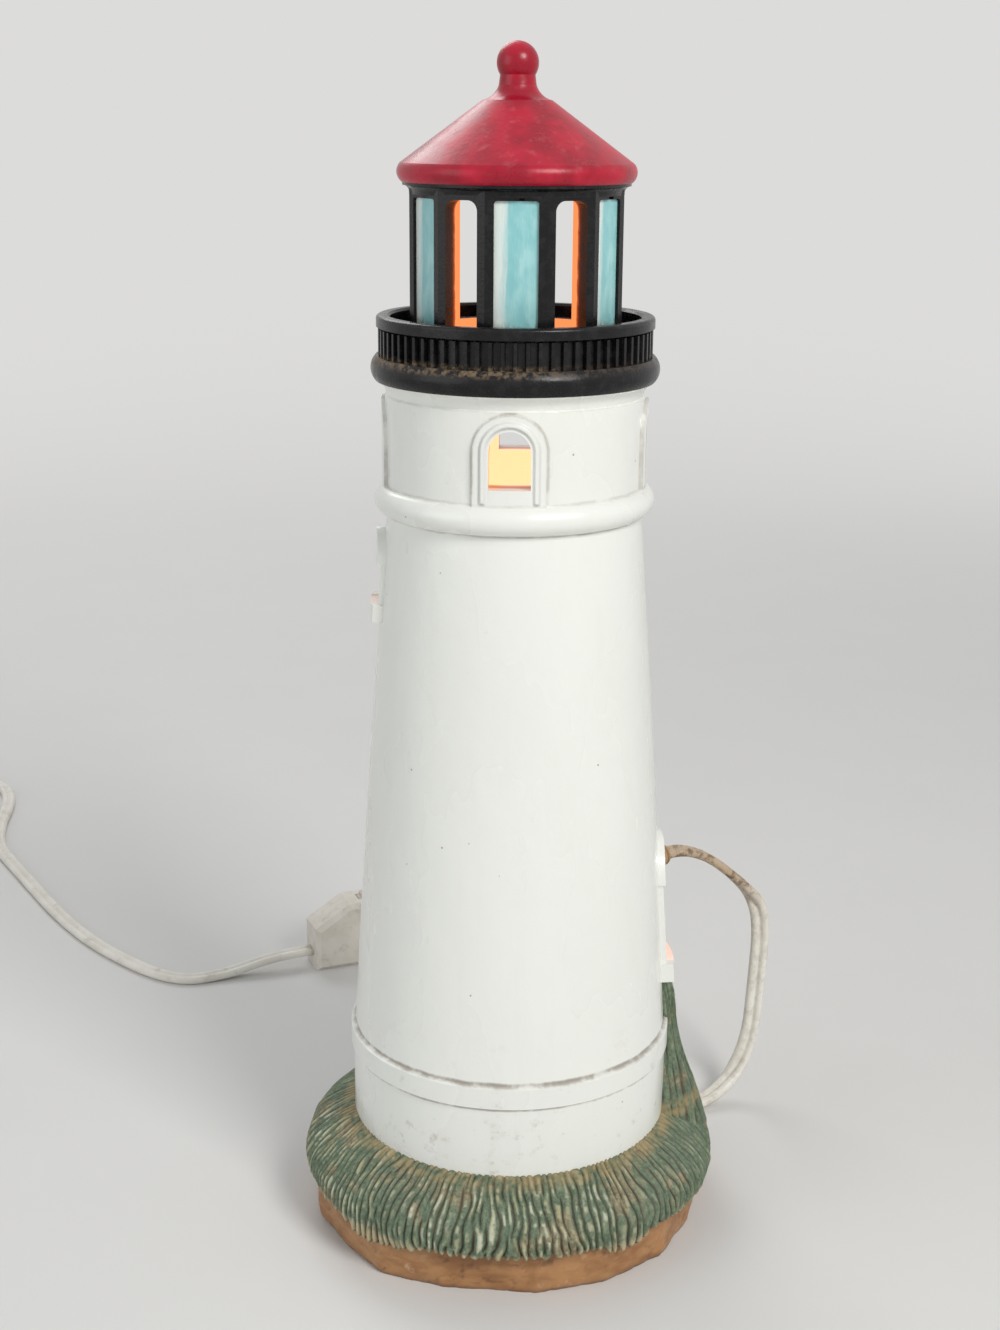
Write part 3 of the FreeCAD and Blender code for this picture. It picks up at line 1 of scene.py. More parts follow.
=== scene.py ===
"""Looks of a lighted lighthouse ornament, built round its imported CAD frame.

Metres, Z up, the front towards -Y, the origin under the middle of the plinth. Materials
read the row frame's own coordinates, so every pattern is laid out in millimetres.
"""

from __future__ import annotations

import logging
import math
from collections.abc import Iterable, Sequence
from dataclasses import dataclass, field
from enum import Enum

import bpy
import numpy as np
from mathutils import Matrix, Vector, noise

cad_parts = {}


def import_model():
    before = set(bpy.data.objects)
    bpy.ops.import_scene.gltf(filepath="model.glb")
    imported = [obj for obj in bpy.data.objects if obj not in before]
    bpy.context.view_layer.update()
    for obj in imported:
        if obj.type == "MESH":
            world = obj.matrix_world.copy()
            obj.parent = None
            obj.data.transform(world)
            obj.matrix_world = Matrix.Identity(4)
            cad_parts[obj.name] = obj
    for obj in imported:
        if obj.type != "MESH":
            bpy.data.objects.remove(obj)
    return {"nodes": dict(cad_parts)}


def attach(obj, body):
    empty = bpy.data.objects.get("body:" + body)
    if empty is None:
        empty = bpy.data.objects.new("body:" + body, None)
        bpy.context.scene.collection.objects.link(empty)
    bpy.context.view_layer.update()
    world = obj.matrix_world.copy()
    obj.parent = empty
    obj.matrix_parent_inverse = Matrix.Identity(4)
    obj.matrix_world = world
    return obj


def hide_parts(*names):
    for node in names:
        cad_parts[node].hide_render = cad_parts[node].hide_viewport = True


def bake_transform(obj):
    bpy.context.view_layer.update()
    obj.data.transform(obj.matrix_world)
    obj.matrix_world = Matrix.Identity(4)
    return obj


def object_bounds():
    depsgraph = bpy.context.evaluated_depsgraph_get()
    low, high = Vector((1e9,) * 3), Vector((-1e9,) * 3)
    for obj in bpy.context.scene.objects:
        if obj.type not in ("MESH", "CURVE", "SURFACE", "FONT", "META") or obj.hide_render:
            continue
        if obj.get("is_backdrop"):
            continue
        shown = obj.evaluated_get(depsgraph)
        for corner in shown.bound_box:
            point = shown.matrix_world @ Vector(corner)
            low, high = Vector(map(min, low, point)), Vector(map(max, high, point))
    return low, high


LOG = logging.getLogger("lighthouse")
MM = 0.001

Colour = tuple[float, float, float]
Point = tuple[float, float, float]

# The camera, as measured from the photograph.
CAMERA_AT: Point = (0.0, -0.495, 0.300)
VIEW_RIGHT: Point = (0.999939, 0.008765, 0.006690)
VIEW_UP: Point = (-0.008846, 0.275507, 0.961258)
LENS_MM = 51.81

# Heights, reaches and strengths of the dark wash, in millimetres, and the forms it follows.
TOWER_LINES = (
    (48.9, 0.8, 0.6), (55.9, 1.0, 0.85), (200.4, 0.7, 0.45), (208.2, 0.7, 0.35),
    (231.2, 0.6, 0.25),
)
CONE_FOOT, CONE_HEAD = (43.4, 55.7), (33.5, 200.4)

# The rock's corners: the turn from the front, and how far each stands out or in.
ROCK_CORNERS = (
    (-71, 1.2), (-55, 0.3), (-37, 2.0), (-19, -0.4), (8, -0.5), (28, 0.2), (50, 0.4),
    (70, -0.6), (92, 1.0), (113, 0.9), (134, -0.4), (157, 0.8), (181, -0.2), (203, 0.9),
    (226, -0.5), (248, 0.8), (268, 0.4),
)
DOOR_TURN = 97.0
WINDOW_TURN, WINDOW_HALF, WINDOW_SPRING, SURROUND_HALF = -2.0, 5.25, 221.35, 9.25

FOOT_RADIUS = 43.9

# The flat cord, 5.6 by 2.8 mm, lies on its wide side wherever it rests.
CORD_WIDE = 5.6
CORD_REST = 1.42
LOOP_ROUTE = (
    (45.75, 45.75, 86.0), (54.94, 54.94, 86.0), (75.5, 62.0, 68.0), (79.2, 62.8, 57.0),
    (78.0, 61.8, 35.0), (76.6, 59.8, 18.0), (70.8, 55.3, 6.0),
)
BACK_ROUTE = (
    (60.5, 47.0), (46.0, 44.0), (33.0, 52.5), (27.0, 68.0), (26.0, 96.0), (30.0, 130.0),
    (27.0, 159.0), (13.0, 177.0),
)
LEFT_ROUTE = (
    (-103.0, 137.5), (-121.0, 131.5), (-151.5, 158.2), (-174.0, 188.0), (-198.5, 229.5),
    (-221.5, 267.5),
)
SWITCH_CORNER = (-69.9, 143.6)
SWITCH_TURN = 22.4
SWITCH_SIZE = (50.0, 15.0)
SWITCH_ENTRY = 5.7
COIL_ENTRY = (-248.0, 348.0)
COIL_HEADING = 115.0
COIL_TURNS = 5.5
COIL_SETTLE = 0.5
COIL_RADIUS = 31.0
COIL_PITCH = 6.2
COIL_LAYER = 3.1
COIL_STEPS = 10
COIL_EASE = 1.012
PLUG_CORD_HEIGHT = 5.25


class Body(Enum):
    """The bodies of the frame that new pieces ride on."""

    ORNAMENT = "ornament"
    LAMPHOLDER = "lampholder"


class Blend(Enum):
    """How a value is carried from one limit to the other."""

    EVEN = "LINEAR"
    SOFT = "SMOOTHSTEP"


class Side(Enum):
    """Which face of the rock a ring of points belongs to."""

    AXIS = "axis"
    SKIN = "skin"
    ROOM = "room"


# ------------------------------------------------------------------ shader arithmetic
class Wire:
    """A node's output that arithmetic can be written with."""

    def __init__(self, graph: Graph, socket: bpy.types.NodeSocket) -> None:
        """Keeps the socket and the graph it belongs to.

        Args:
            graph: The graph that new nodes are added to.
            socket: The output this wire stands for.
        """
        self.graph = graph
        self.socket = socket

    def _math(self, operation: str, first: Value, second: Value) -> Wire:
        """Adds a Math node.

        Args:
            operation: The node's operation.
            first: Its first value.
            second: Its second value.

        Returns:
            The node's result.
        """
        settings = {"operation": operation}
        return self.graph.add("ShaderNodeMath", settings, {0: first, 1: second})

    def __add__(self, other: Value) -> Wire:
        """Adds."""
        return self._math("ADD", self, other)

    def __radd__(self, other: Value) -> Wire:
        """Adds to a number."""
        return self._math("ADD", other, self)

    def __sub__(self, other: Value) -> Wire:
        """Takes away."""
        return self._math("SUBTRACT", self, other)

    def __rsub__(self, other: Value) -> Wire:
        """Is taken away from a number."""
        return self._math("SUBTRACT", other, self)

    def __mul__(self, other: Value) -> Wire:
        """Multiplies."""
        return self._math("MULTIPLY", self, other)

    def __rmul__(self, other: Value) -> Wire:
        """Multiplies a number."""
        return self._math("MULTIPLY", other, self)

    def __pow__(self, other: Value) -> Wire:
        """Raises to a power."""
        return self._math("POWER", self, other)

    def __abs__(self) -> Wire:
        """Drops the sign."""
        return self._math("ABSOLUTE", self, 0.0)

    def least(self, other: Value) -> Wire:
        """The smaller of the two."""
        return self._math("MINIMUM", self, other)

    def most(self, other: Value) -> Wire:
        """The larger of the two."""
        return self._math("MAXIMUM", self, other)


Value = Wire | float | Sequence[float]


class Graph:
    """A node tree and the one method that adds nodes to it."""

    def __init__(self, tree: bpy.types.NodeTree) -> None:
        """Empties the tree.

        Args:
            tree: The node tree of a material or of the world.
        """
        self.tree = tree
        tree.nodes.clear()

    def add(
        self,
        kind: str,
        settings: dict[str, object] | None = None,
        sockets: dict[int | str, Value] | None = None,
        output: int | str = 0,
    ) -> Wire:
        """Adds a node, with its settings first and its sockets after them.

        Args:
            kind: The node's type.
            settings: The node's own settings. "stops" fills a colour ramp.
            sockets: A value or a wire for each input, by index or name.
            output: Which output is given back.

        Returns:
            That output.
        """
        node = self.tree.nodes.new(kind)
        for name, value in (settings or {}).items():
            if name == "stops":
                self._fill_ramp(node.color_ramp, value)
            else:
                setattr(node, name, value)
        for key, value in (sockets or {}).items():
            self._plug(node.inputs[key], value)
        return Wire(self, node.outputs[output]) if node.outputs else Wire(self, None)

    def _plug(self, socket: bpy.types.NodeSocket, value: Value) -> None:
        """Gives an input its link or its value.

        Args:
            socket: The input.
            value: A wire, a number, or a row of numbers.
        """
        if isinstance(value, Wire):
            self.tree.links.new(value.socket, socket)
        elif isinstance(value, (int, float)):
            socket.default_value = value
        elif socket.type == "RGBA":
            socket.default_value = (*value[:3], 1.0)
        else:
            socket.default_value = value

    @staticmethod
    def _fill_ramp(ramp: bpy.types.ColorRamp, stops: Sequence[tuple]) -> None:
        """Replaces a ramp's stops.

        Args:
            ramp: The ramp.
            stops: Pairs of a place from 0 to 1 and a colour.
        """
        while len(ramp.elements) > 1:
            ramp.elements.remove(ramp.elements[-1])
        ramp.elements[0].position = stops[0][0]
        ramp.elements[0].color = (*stops[0][1], 1.0)
        for place, colour in stops[1:]:
            ramp.elements.new(place).color = (*colour, 1.0)

    def place(self) -> Wire:
        """The point on the piece, in millimetres of the row frame.

        Returns:
            A vector.
        """
        at = self.add("ShaderNodeTexCoord", output="Object")
        sockets = {0: at, "Scale": 1000.0}
        return self.add("ShaderNodeVectorMath", {"operation": "SCALE"}, sockets)

    def parts(self, vector: Wire) -> tuple[Wire, Wire, Wire]:
        """Splits a vector.

        Args:
            vector: The vector.

        Returns:
            Its three numbers.
        """
        first = self.add("ShaderNodeSeparateXYZ", sockets={0: vector})
        outputs = first.socket.node.outputs
        return first, Wire(self, outputs[1]), Wire(self, outputs[2])

    def stretch(self, vector: Wire, factors: Point) -> Wire:
        """Multiplies a vector number by number.

        Args:
            vector: The vector.
            factors: The three factors.

        Returns:
            The vector, stretched.
        """
        settings = {"operation": "MULTIPLY"}
        return self.add("ShaderNodeVectorMath", settings, {0: vector, 1: factors})

    def cloud(self, at: Wire, grain: float, detail: float = 3.0, rough: float = 0.55) -> Wire:
        """Soft noise.

        Args:
            at: Where, in millimetres.
            grain: The size of its patches, in millimetres.
            detail: How many finer layers it has.
            rough: How strong they are.

        Returns:
            A value around 0.5.
        """
        sockets = {"Vector": at, "Scale": 1 / grain, "Detail": detail, "Roughness": rough}
        return self.add("ShaderNodeTexNoise", None, sockets)

    def speckle(self, at: Wire, spacing: float, size: float, share: float) -> Wire:
        """Small separate dots.

        Args:
            at: Where, in millimetres.
            spacing: How far apart the dots would be, in millimetres.
            size: The radius of a dot as a part of the spacing.
            share: The part of the dots that is shown.

        Returns:
            1 in a dot, 0 outside.
        """
        sockets = {"Vector": at, "Scale": 1 / spacing}
        distance = self.add("ShaderNodeTexVoronoi", None, sockets)
        chance, _, _ = self.parts(Wire(self, distance.socket.node.outputs["Color"]))
        near = self.ramp(distance, size, size * 0.6)
        return near * self.ramp(chance, 1 - share - 0.02, 1 - share + 0.02)

    def ramp(
        self, value: Wire, start: Value, stop: Value, low: float = 0.0, high: float = 1.0,
        blend: Blend = Blend.SOFT,
    ) -> Wire:
        """Carries a value from one limit to the other and holds it there.

        Args:
            value: The value.
            start: Where the result is low.
            stop: Where the result is high.
            low: The result before start.
            high: The result after stop.
            blend: The way between them.

        Returns:
            The result.
        """
        sockets = {"Value": value, "From Min": start, "From Max": stop, "To Min": low,
                   "To Max": high}
        return self.add("ShaderNodeMapRange", {"interpolation_type": blend.value}, sockets)

    def mix(self, share: Value, first: Value, second: Value) -> Wire:
        """Mixes two colours.

        Args:
            share: How much of the second.
            first: The first colour.
            second: The second colour.

        Returns:
            The mixed colour.
        """
        settings = {"data_type": "RGBA", "blend_type": "MIX"}
        return self.add("ShaderNodeMix", settings, {0: share, 6: first, 7: second}, 2)

    def relief(self, height: Wire, depth_mm: float, below: Wire | None = None) -> Wire:
        """A bump in the surface.

        Args:
            height: From 0 to 1.
            depth_mm: How high 1 stands, in millimetres.
            below: A bump that this one is added to.

        Returns:
            The bent normal.
        """
        sockets: dict[int | str, Value] = {
            "Strength": 1.0, "Distance": depth_mm * MM, "Height": height,
        }
        if below is not None:
            sockets["Normal"] = below
        return self.add("ShaderNodeBump", None, sockets)

    def surface(self, **sockets: Value) -> None:
        """Ends a material with its shader.

        Args:
            sockets: The shader's inputs, with underscores for spaces.
        """
        shader = self.skin(**sockets)
        self.add("ShaderNodeOutputMaterial", None, {"Surface": shader})

    def skin(self, **sockets: Value) -> Wire:
        """Adds the shader that most materials end with.

        Args:
            sockets: The shader's inputs, with underscores for spaces.

        Returns:
            The shader.
        """
        named = {name.replace("_", " "): value for name, value in sockets.items()}
        return self.add("ShaderNodeBsdfPrincipled", None, named)

    def unshaded(self) -> Wire:
        """Tells the rays for which the background only shows from those that light.

        Returns:
            1 for a ray from the camera, a reflection or clear glass, otherwise 0.
        """
        seen = self.add("ShaderNodeLightPath", output="Is Camera Ray")
        outputs = seen.socket.node.outputs
        both = seen + Wire(self, outputs["Is Glossy Ray"])
        both = both + Wire(self, outputs["Is Transmission Ray"])
        return self.ramp(both, 0.0, 1.0, blend=Blend.EVEN)


def new_material(name: str) -> tuple[bpy.types.Material, Graph]:
    """Starts a material.

    Args:
        name: Its name.

    Returns:
        The material and its graph.
    """
    material = bpy.data.materials.new(name)
    material.use_nodes = True
    return material, Graph(material.node_tree)


# ------------------------------------------------------------------ finishes
@dataclass(frozen=True)
class Finish:
    """How a piece with an even finish looks.

    Attributes:
        name: The material's name.
        light: Its lighter tone.
        dark: Its darker tone.
        rough: Its roughness.
        metal: 1 for bare metal.
        coat: How glossy its outer coat is.
        patch: The size of its tonal patches, in millimetres.
        grain: The size of its surface grain, in millimetres.
        depth: How deep that grain is, in millimetres.
        grime: The colour of the dirt on it.
        dirt: How much of it is dirty.
    """

    name: str
    light: Colour
    dark: Colour
    rough: float = 0.4
    metal: float = 0.0
    coat: float = 0.0
    patch: float = 9.0
    grain: float = 0.5
    depth: float = 0.03
    grime: Colour = (0.10, 0.07, 0.045)
    dirt: float = 0.25

    def material(self) -> bpy.types.Material:
        """Builds the finish.

        Returns:
            The material.
        """
        material, graph = new_material(self.name)
        at = graph.place()
        patches = graph.cloud(at, self.patch)
        colour = graph.mix(graph.ramp(patches, 0.3, 0.7), self.dark, self.light)
        soil = graph.ramp(graph.cloud(at, self.patch * 0.55, 6.0, 0.7), 0.52, 0.72) * self.dirt
        colour = graph.mix(soil, colour, self.grime)
        grain = graph.cloud(at, self.grain, 2.0)
        graph.surface(
            Base_Color=colour,
            Roughness=graph.ramp(patches, 0.2, 0.8, self.rough + 0.08, self.rough - 0.06)
            + soil * 0.3,
            Metallic=self.metal,
            Coat_Weight=self.coat,
            Normal=graph.relief(grain, self.depth),
        )
        return material


IVORY = Finish("ivory_flex", (0.82, 0.80, 0.73), (0.74, 0.71, 0.63), 0.4, dirt=0.22)
SHELL = Finish("ivory_shell", (0.76, 0.72, 0.65), (0.67, 0.62, 0.54), 0.34, coat=0.1)
WHEEL = Finish("wheel_plastic", (0.62, 0.55, 0.49), (0.52, 0.45, 0.39), 0.4)
PLUG = Finish("plug_plastic", (0.74, 0.71, 0.63), (0.66, 0.62, 0.53), 0.4)
TAN = Finish("tan_phenolic", (0.42, 0.27, 0.14), (0.26, 0.15, 0.075), 0.45, dirt=0.45)
BRASS = Finish("drawn_brass", (0.78, 0.58, 0.26), (0.62, 0.44, 0.18), 0.28, 1.0, dirt=0.2)
STEEL = Finish("spring_steel", (0.62, 0.62, 0.60), (0.48, 0.48, 0.47), 0.3, 1.0, dirt=0.15)
CAP = Finish("lamp_cap", (0.78, 0.77, 0.74), (0.66, 0.65, 0.63), 0.25, 1.0, dirt=0.1)
BLACK_GLASS = Finish("black_insulator", (0.03, 0.03, 0.03), (0.015, 0.015, 0.015), 0.15)
SOLDER = Finish("solder", (0.60, 0.60, 0.60), (0.42, 0.42, 0.43), 0.35, 1.0, grain=0.9)


# Colours of the painted lamplight on the insides of the castings.
TOWER_GLOW: Colour = (1.0, 0.64, 0.34)
LANTERN_GLOW: Colour = (0.95, 0.30, 0.10)


def painted_lamplight(graph: Graph, share: Wire, peak: Colour) -> Wire:
    """The lamp's light, painted on the inside of the casting as emission.

    Args:
        graph: The material's graph.
        share: From 0 at the outer face to 1 at the inner face.
        peak: The colour of the inner face.

    Returns:
        A colour for the emission.
    """
    stops = [
        (0.0, (0.0, 0.0, 0.0)),
        (0.42, (0.045, 0.004, 0.001)),
        (0.74, (0.42, 0.065, 0.014)),
        (0.92, (0.90, 0.30, 0.08)),
        (1.0, peak),
    ]
    return graph.add("ShaderNodeValToRGB", {"stops": stops}, {0: share})


def glaze_material() -> bpy.types.Material:
    """The tower: cream gloss with fine specks, dark wash in its lines, and a warm inside lit by
    painted lamplight.

    Returns:
        The material.
    """
    material, graph = new_material("cream_glaze")
    at = graph.place()
    x, y, z = graph.parts(at)
    radius = (x * x + y * y) ** 0.5
    broad = graph.cloud(graph.stretch(at, (1.0, 1.0, 0.45)), 26.0)
    colour = graph.mix(graph.ramp(broad, 0.25, 0.75), (0.825, 0.838, 0.79), (0.845, 0.86, 0.812))
    drip = graph.cloud(graph.stretch(at, (1.0, 1.0, 0.12)), 4.5, 4.0)
    colour = graph.mix(graph.ramp(drip, 0.5, 0.85) * 0.07, colour, (0.60, 0.56, 0.47))
    blotch = graph.ramp(graph.cloud(at, 7.0, 6.0, 0.72), 0.56, 0.74)
    foot = graph.ramp(z, 75.0, 30.0) * blotch * 0.55
    colour = graph.mix(foot, colour, (0.33, 0.25, 0.15))
    specks = graph.speckle(at, 8.0, 0.042, 0.4)
    colour = graph.mix(specks * 0.75, colour, (0.20, 0.14, 0.08))
    wander = graph.cloud(at, 5.0, 3.0)
    wash: Wire | None = None
    for height, reach, strength in TOWER_LINES:
        line = graph.ramp(abs(z + wander * 0.9 - (height + 0.45)), reach, 0.1) * strength
        wash = line if wash is None else wash + line
    settings = {"rotation_type": "Z_AXIS"}
    sockets = {"Vector": at, "Angle": math.radians(-WINDOW_TURN)}
    u, v, _ = graph.parts(graph.add("ShaderNodeVectorRotate", settings, sockets))
    aside = abs(u).least(abs(v))
    above = (z - WINDOW_SPRING).most(0.0)
    arch = (aside * aside + above * above) ** 0.5
    drum = graph.ramp(abs(z - 220.2), 12.2, 11.2)
    hood = graph.ramp(abs(arch + wander * 0.5 - (SURROUND_HALF + 0.35)), 0.75, 0.15)
    wash = wash + hood * drum * 0.5
    lip = graph.ramp(abs(arch - (WINDOW_HALF + 1.5)), 1.2, 0.2) * drum
    streak = graph.ramp(graph.cloud(at, 7.0, 4.0, 0.6), 0.34, 0.55, 0.4, 1.0)
    colour = graph.mix(graph.ramp(wash * streak, 0.0, 1.0) * 0.7, colour, (0.16, 0.10, 0.055))
    # Painted lamplight: the inside of the wall turns warm brown and glows by emission.
    skin = graph.ramp(z, CONE_FOOT[1], CONE_HEAD[1], CONE_FOOT[0], CONE_HEAD[0], Blend.EVEN)
    inward = graph.ramp(skin - radius, 1.2, 7.0, blend=Blend.EVEN)
    colour = graph.mix(graph.ramp(inward, 0.0, 0.5), colour, (0.34, 0.19, 0.11))
    # Painted lamplight on the doorway's threshold, which glows by emission.
    threshold = graph.ramp(abs(z - 77.0), 7.5, 4.0) * graph.ramp(x, 38.0, 41.5)
    beside = threshold * graph.ramp(abs(y - 5.0), 10.5, 6.5)
    high = graph.ramp(z, 218.5, 225.0, 1.0, 0.74)
    glow = graph.ramp(inward * high + beside * 0.66, 0.0, 1.0, blend=Blend.EVEN)
    pits = graph.cloud(at, 1.4, 3.0)
    sag = graph.cloud(graph.stretch(at, (1.0, 1.0, 0.5)), 11.0, 2.0)
    graph.surface(
        Base_Color=colour,
        Roughness=graph.ramp(broad, 0.3, 0.7, 0.22, 0.34) + specks * 0.3 + foot * 0.4,
        Coat_Weight=0.35,
        Coat_Roughness=0.12,
        Normal=graph.relief(pits, 0.04, graph.relief(lip, 0.6, graph.relief(sag, 0.35))),
        Emission_Color=painted_lamplight(graph, glow, TOWER_GLOW),
        Emission_Strength=1.1,
    )
    return material


def black_material(name: str, inner: float, outer: float, bright: float) -> bpy.types.Material:
    """Satin black paint over a casting whose inside is warm and bright with painted lamplight.

    Args:
        name: The material's name.
        inner: The radius at which the inside is brightest, in millimetres.
        outer: The radius from which it is plain black.
        bright: How bright the inside is.

    Returns:
        The material.
    """
    material, graph = new_material(name)
    at = graph.place()
    x, y, z = graph.parts(at)
    radius = (x * x + y * y) ** 0.5
    cloud = graph.cloud(at, 3.0, 5.0, 0.65)
    colour = graph.mix(graph.ramp(cloud, 0.4, 0.7), (0.006, 0.006, 0.007), (0.016, 0.014, 0.014))
    dust = graph.ramp(abs(z - 240.9), 1.9, 0.4) * graph.ramp(x, 24.0, -14.0, 0.2, 1.0)
    worn = graph.ramp(graph.cloud(at, 1.7, 5.0, 0.7), 0.42, 0.60)
    colour = graph.mix(dust * worn * 0.75, colour, (0.24, 0.17, 0.105))
    rub = graph.ramp(graph.cloud(at, 2.2, 6.0, 0.75), 0.64, 0.80) * 0.25
    colour = graph.mix(rub, colour, (0.10, 0.065, 0.04))
    wobble = graph.cloud(at, 2.6, 3.0) * 0.9
    # Painted lamplight: towards the inside the black turns warm brown and glows by emission.
    inward = graph.ramp(radius + wobble - 0.45, outer, inner, blend=Blend.EVEN)
    colour = graph.mix(graph.ramp(inward, 0.4, 0.95), colour, (0.17, 0.065, 0.03))
    graph.surface(
        Base_Color=colour,
        Roughness=graph.ramp(cloud, 0.3, 0.7, 0.2, 0.34) + dust * worn * 0.4,
        Specular_IOR_Level=0.25,
        Normal=graph.relief(graph.cloud(at, 0.9, 3.0), 0.06),
        Emission_Color=painted_lamplight(graph, inward * inward, LANTERN_GLOW),
        Emission_Strength=bright,
    )
    return material


def pane_material(number: int) -> bpy.types.Material:
    """A pane: pale turquoise with a whitish brushed side, streaks and dirt at its foot.

    Args:
        number: From 1 at the front, counted towards +X.

    Returns:
        The material.
    """
    material, graph = new_material(f"turquoise_pane_{number}")
    turn = math.radians(-60 * (number - 1))
    settings = {"rotation_type": "Z_AXIS"}
    at = graph.add("ShaderNodeVectorRotate", settings, {"Vector": graph.place(), "Angle": turn})
    x, _, z = graph.parts(at)
    brush = graph.cloud(graph.stretch(at, (1.0, 1.0, 0.10)), 1.3, 4.0, 0.6)
    tone = graph.cloud(graph.stretch(at, (1.0, 1.0, 0.5)), 5.0, 3.0)
    colour = graph.mix(graph.ramp(tone, 0.35, 0.65), (0.24, 0.56, 0.58), (0.38, 0.70, 0.70))
    colour = graph.mix(graph.ramp(brush, 0.48, 0.75) * 0.4, colour, (0.58, 0.80, 0.78))
    side = graph.ramp(x + (brush - 0.5) * 5.0, -1.6, -4.2)
    colour = graph.mix(side * 0.85, colour, (0.80, 0.84, 0.79))
    mud = graph.ramp(z + graph.cloud(at, 2.0, 5.0, 0.7) * 7.0, 256.5, 251.0)
    rim = graph.ramp(abs(x), 4.6, 5.4) * 0.6
    colour = graph.mix(graph.ramp(mud + rim * brush, 0.0, 1.0) * 0.8, colour, (0.14, 0.13, 0.06))
    graph.surface(
        Base_Color=colour,
        Roughness=graph.ramp(brush, 0.3, 0.7, 0.3, 0.45) + mud * 0.25,
        Coat_Weight=0.25,
        Normal=graph.relief(brush, 0.12, graph.relief(tone, 0.3)),
    )
    return material


def roof_material() -> bpy.types.Material:
    """The roof: satin red, dusty on its slope, worn at its rim, with painted lamplight on its
    underside.

    Returns:
        The material.
    """
    material, graph = new_material("satin_red")
    at = graph.place()
    x, y, z = graph.parts(at)
    radius = (x * x + y * y) ** 0.5
    tone = graph.cloud(at, 9.0, 3.0)
    colour = graph.mix(graph.ramp(tone, 0.35, 0.65), (0.33, 0.004, 0.020), (0.50, 0.008, 0.034))
    dust = graph.ramp(graph.cloud(at, 3.4, 7.0, 0.72), 0.53, 0.74)
    slope = graph.ramp(abs(z - 297.0), 13.0, 4.0)
    colour = graph.mix(dust * slope * 0.34, colour, (0.62, 0.26, 0.27))
    worn = graph.ramp(abs(z - 286.4), 2.6, 0.6) * graph.ramp(
        graph.cloud(at, 1.8, 6.0, 0.75), 0.56, 0.68)
    colour = graph.mix(worn * 0.5, colour, (0.20, 0.02, 0.02))
    # Painted lamplight: the underside inside the lantern glows by emission.
    painted_glow_under = graph.ramp(z, 284.4, 283.9) * graph.ramp(radius, 26.0, 22.5)
    graph.surface(
        Base_Color=colour,
        Roughness=graph.ramp(tone, 0.3, 0.7, 0.26, 0.38) + dust * slope * 0.3,
        Specular_IOR_Level=0.35,
        Normal=graph.relief(graph.cloud(at, 1.1, 3.0), 0.05, graph.relief(tone, 0.15)),
        Emission_Color=painted_lamplight(graph, painted_glow_under, LANTERN_GLOW),
        Emission_Strength=0.7,
    )
    return material


def rock_material() -> bpy.types.Material:
    """The plinth: carved stone painted tan, washed with brown in its creases.

    Returns:
        The material.
    """
    material, graph = new_material("tan_stone")
    at = graph.place()
    _, _, z = graph.parts(at)
    raised = graph.add("ShaderNodeAttribute", {"attribute_name": "raised"}, output="Fac")
    broad = graph.cloud(graph.stretch(at, (1.0, 1.0, 2.2)), 9.0, 4.0)
    colour = graph.mix(graph.ramp(broad, 0.35, 0.65), (0.30, 0.135, 0.048), (0.43, 0.22, 0.088))
    wash = graph.ramp(graph.cloud(graph.stretch(at, (1.0, 1.0, 2.5)), 4.2, 6.0, 0.7), 0.57, 0.78)
    colour = graph.mix(wash * 0.4, colour, (0.15, 0.065, 0.026))
    colour = graph.mix(graph.ramp(raised, 0.28, 0.03) * 0.6, colour, (0.085, 0.038, 0.016))
    edge = graph.ramp(raised, 0.75, 0.95) * graph.ramp(graph.cloud(at, 2.6, 5.0), 0.4, 0.62)
    colour = graph.mix(edge * 0.55, colour, (0.62, 0.42, 0.24))
    shade = graph.ramp(z + graph.cloud(at, 4.0, 4.0) * 5.0, 13.0, 17.5) * 0.55
    colour = graph.mix(shade, colour, (0.09, 0.05, 0.026))
    # Painted shade: the rock darkens at its very bottom, along the floor.
    foot = graph.ramp(z, 1.6, 0.2) * 0.5
    colour = graph.mix(foot, colour, (0.14, 0.075, 0.04))
    grit = graph.cloud(at, 1.0, 4.0, 0.6)
    graph.surface(
        Base_Color=colour,
        Roughness=graph.ramp(grit, 0.3, 0.7, 0.42, 0.6),
        Coat_Weight=0.1,
        Normal=graph.relief(grit, 0.06, graph.relief(graph.cloud(at, 6.0, 3.0), 0.35)),
    )
    return material


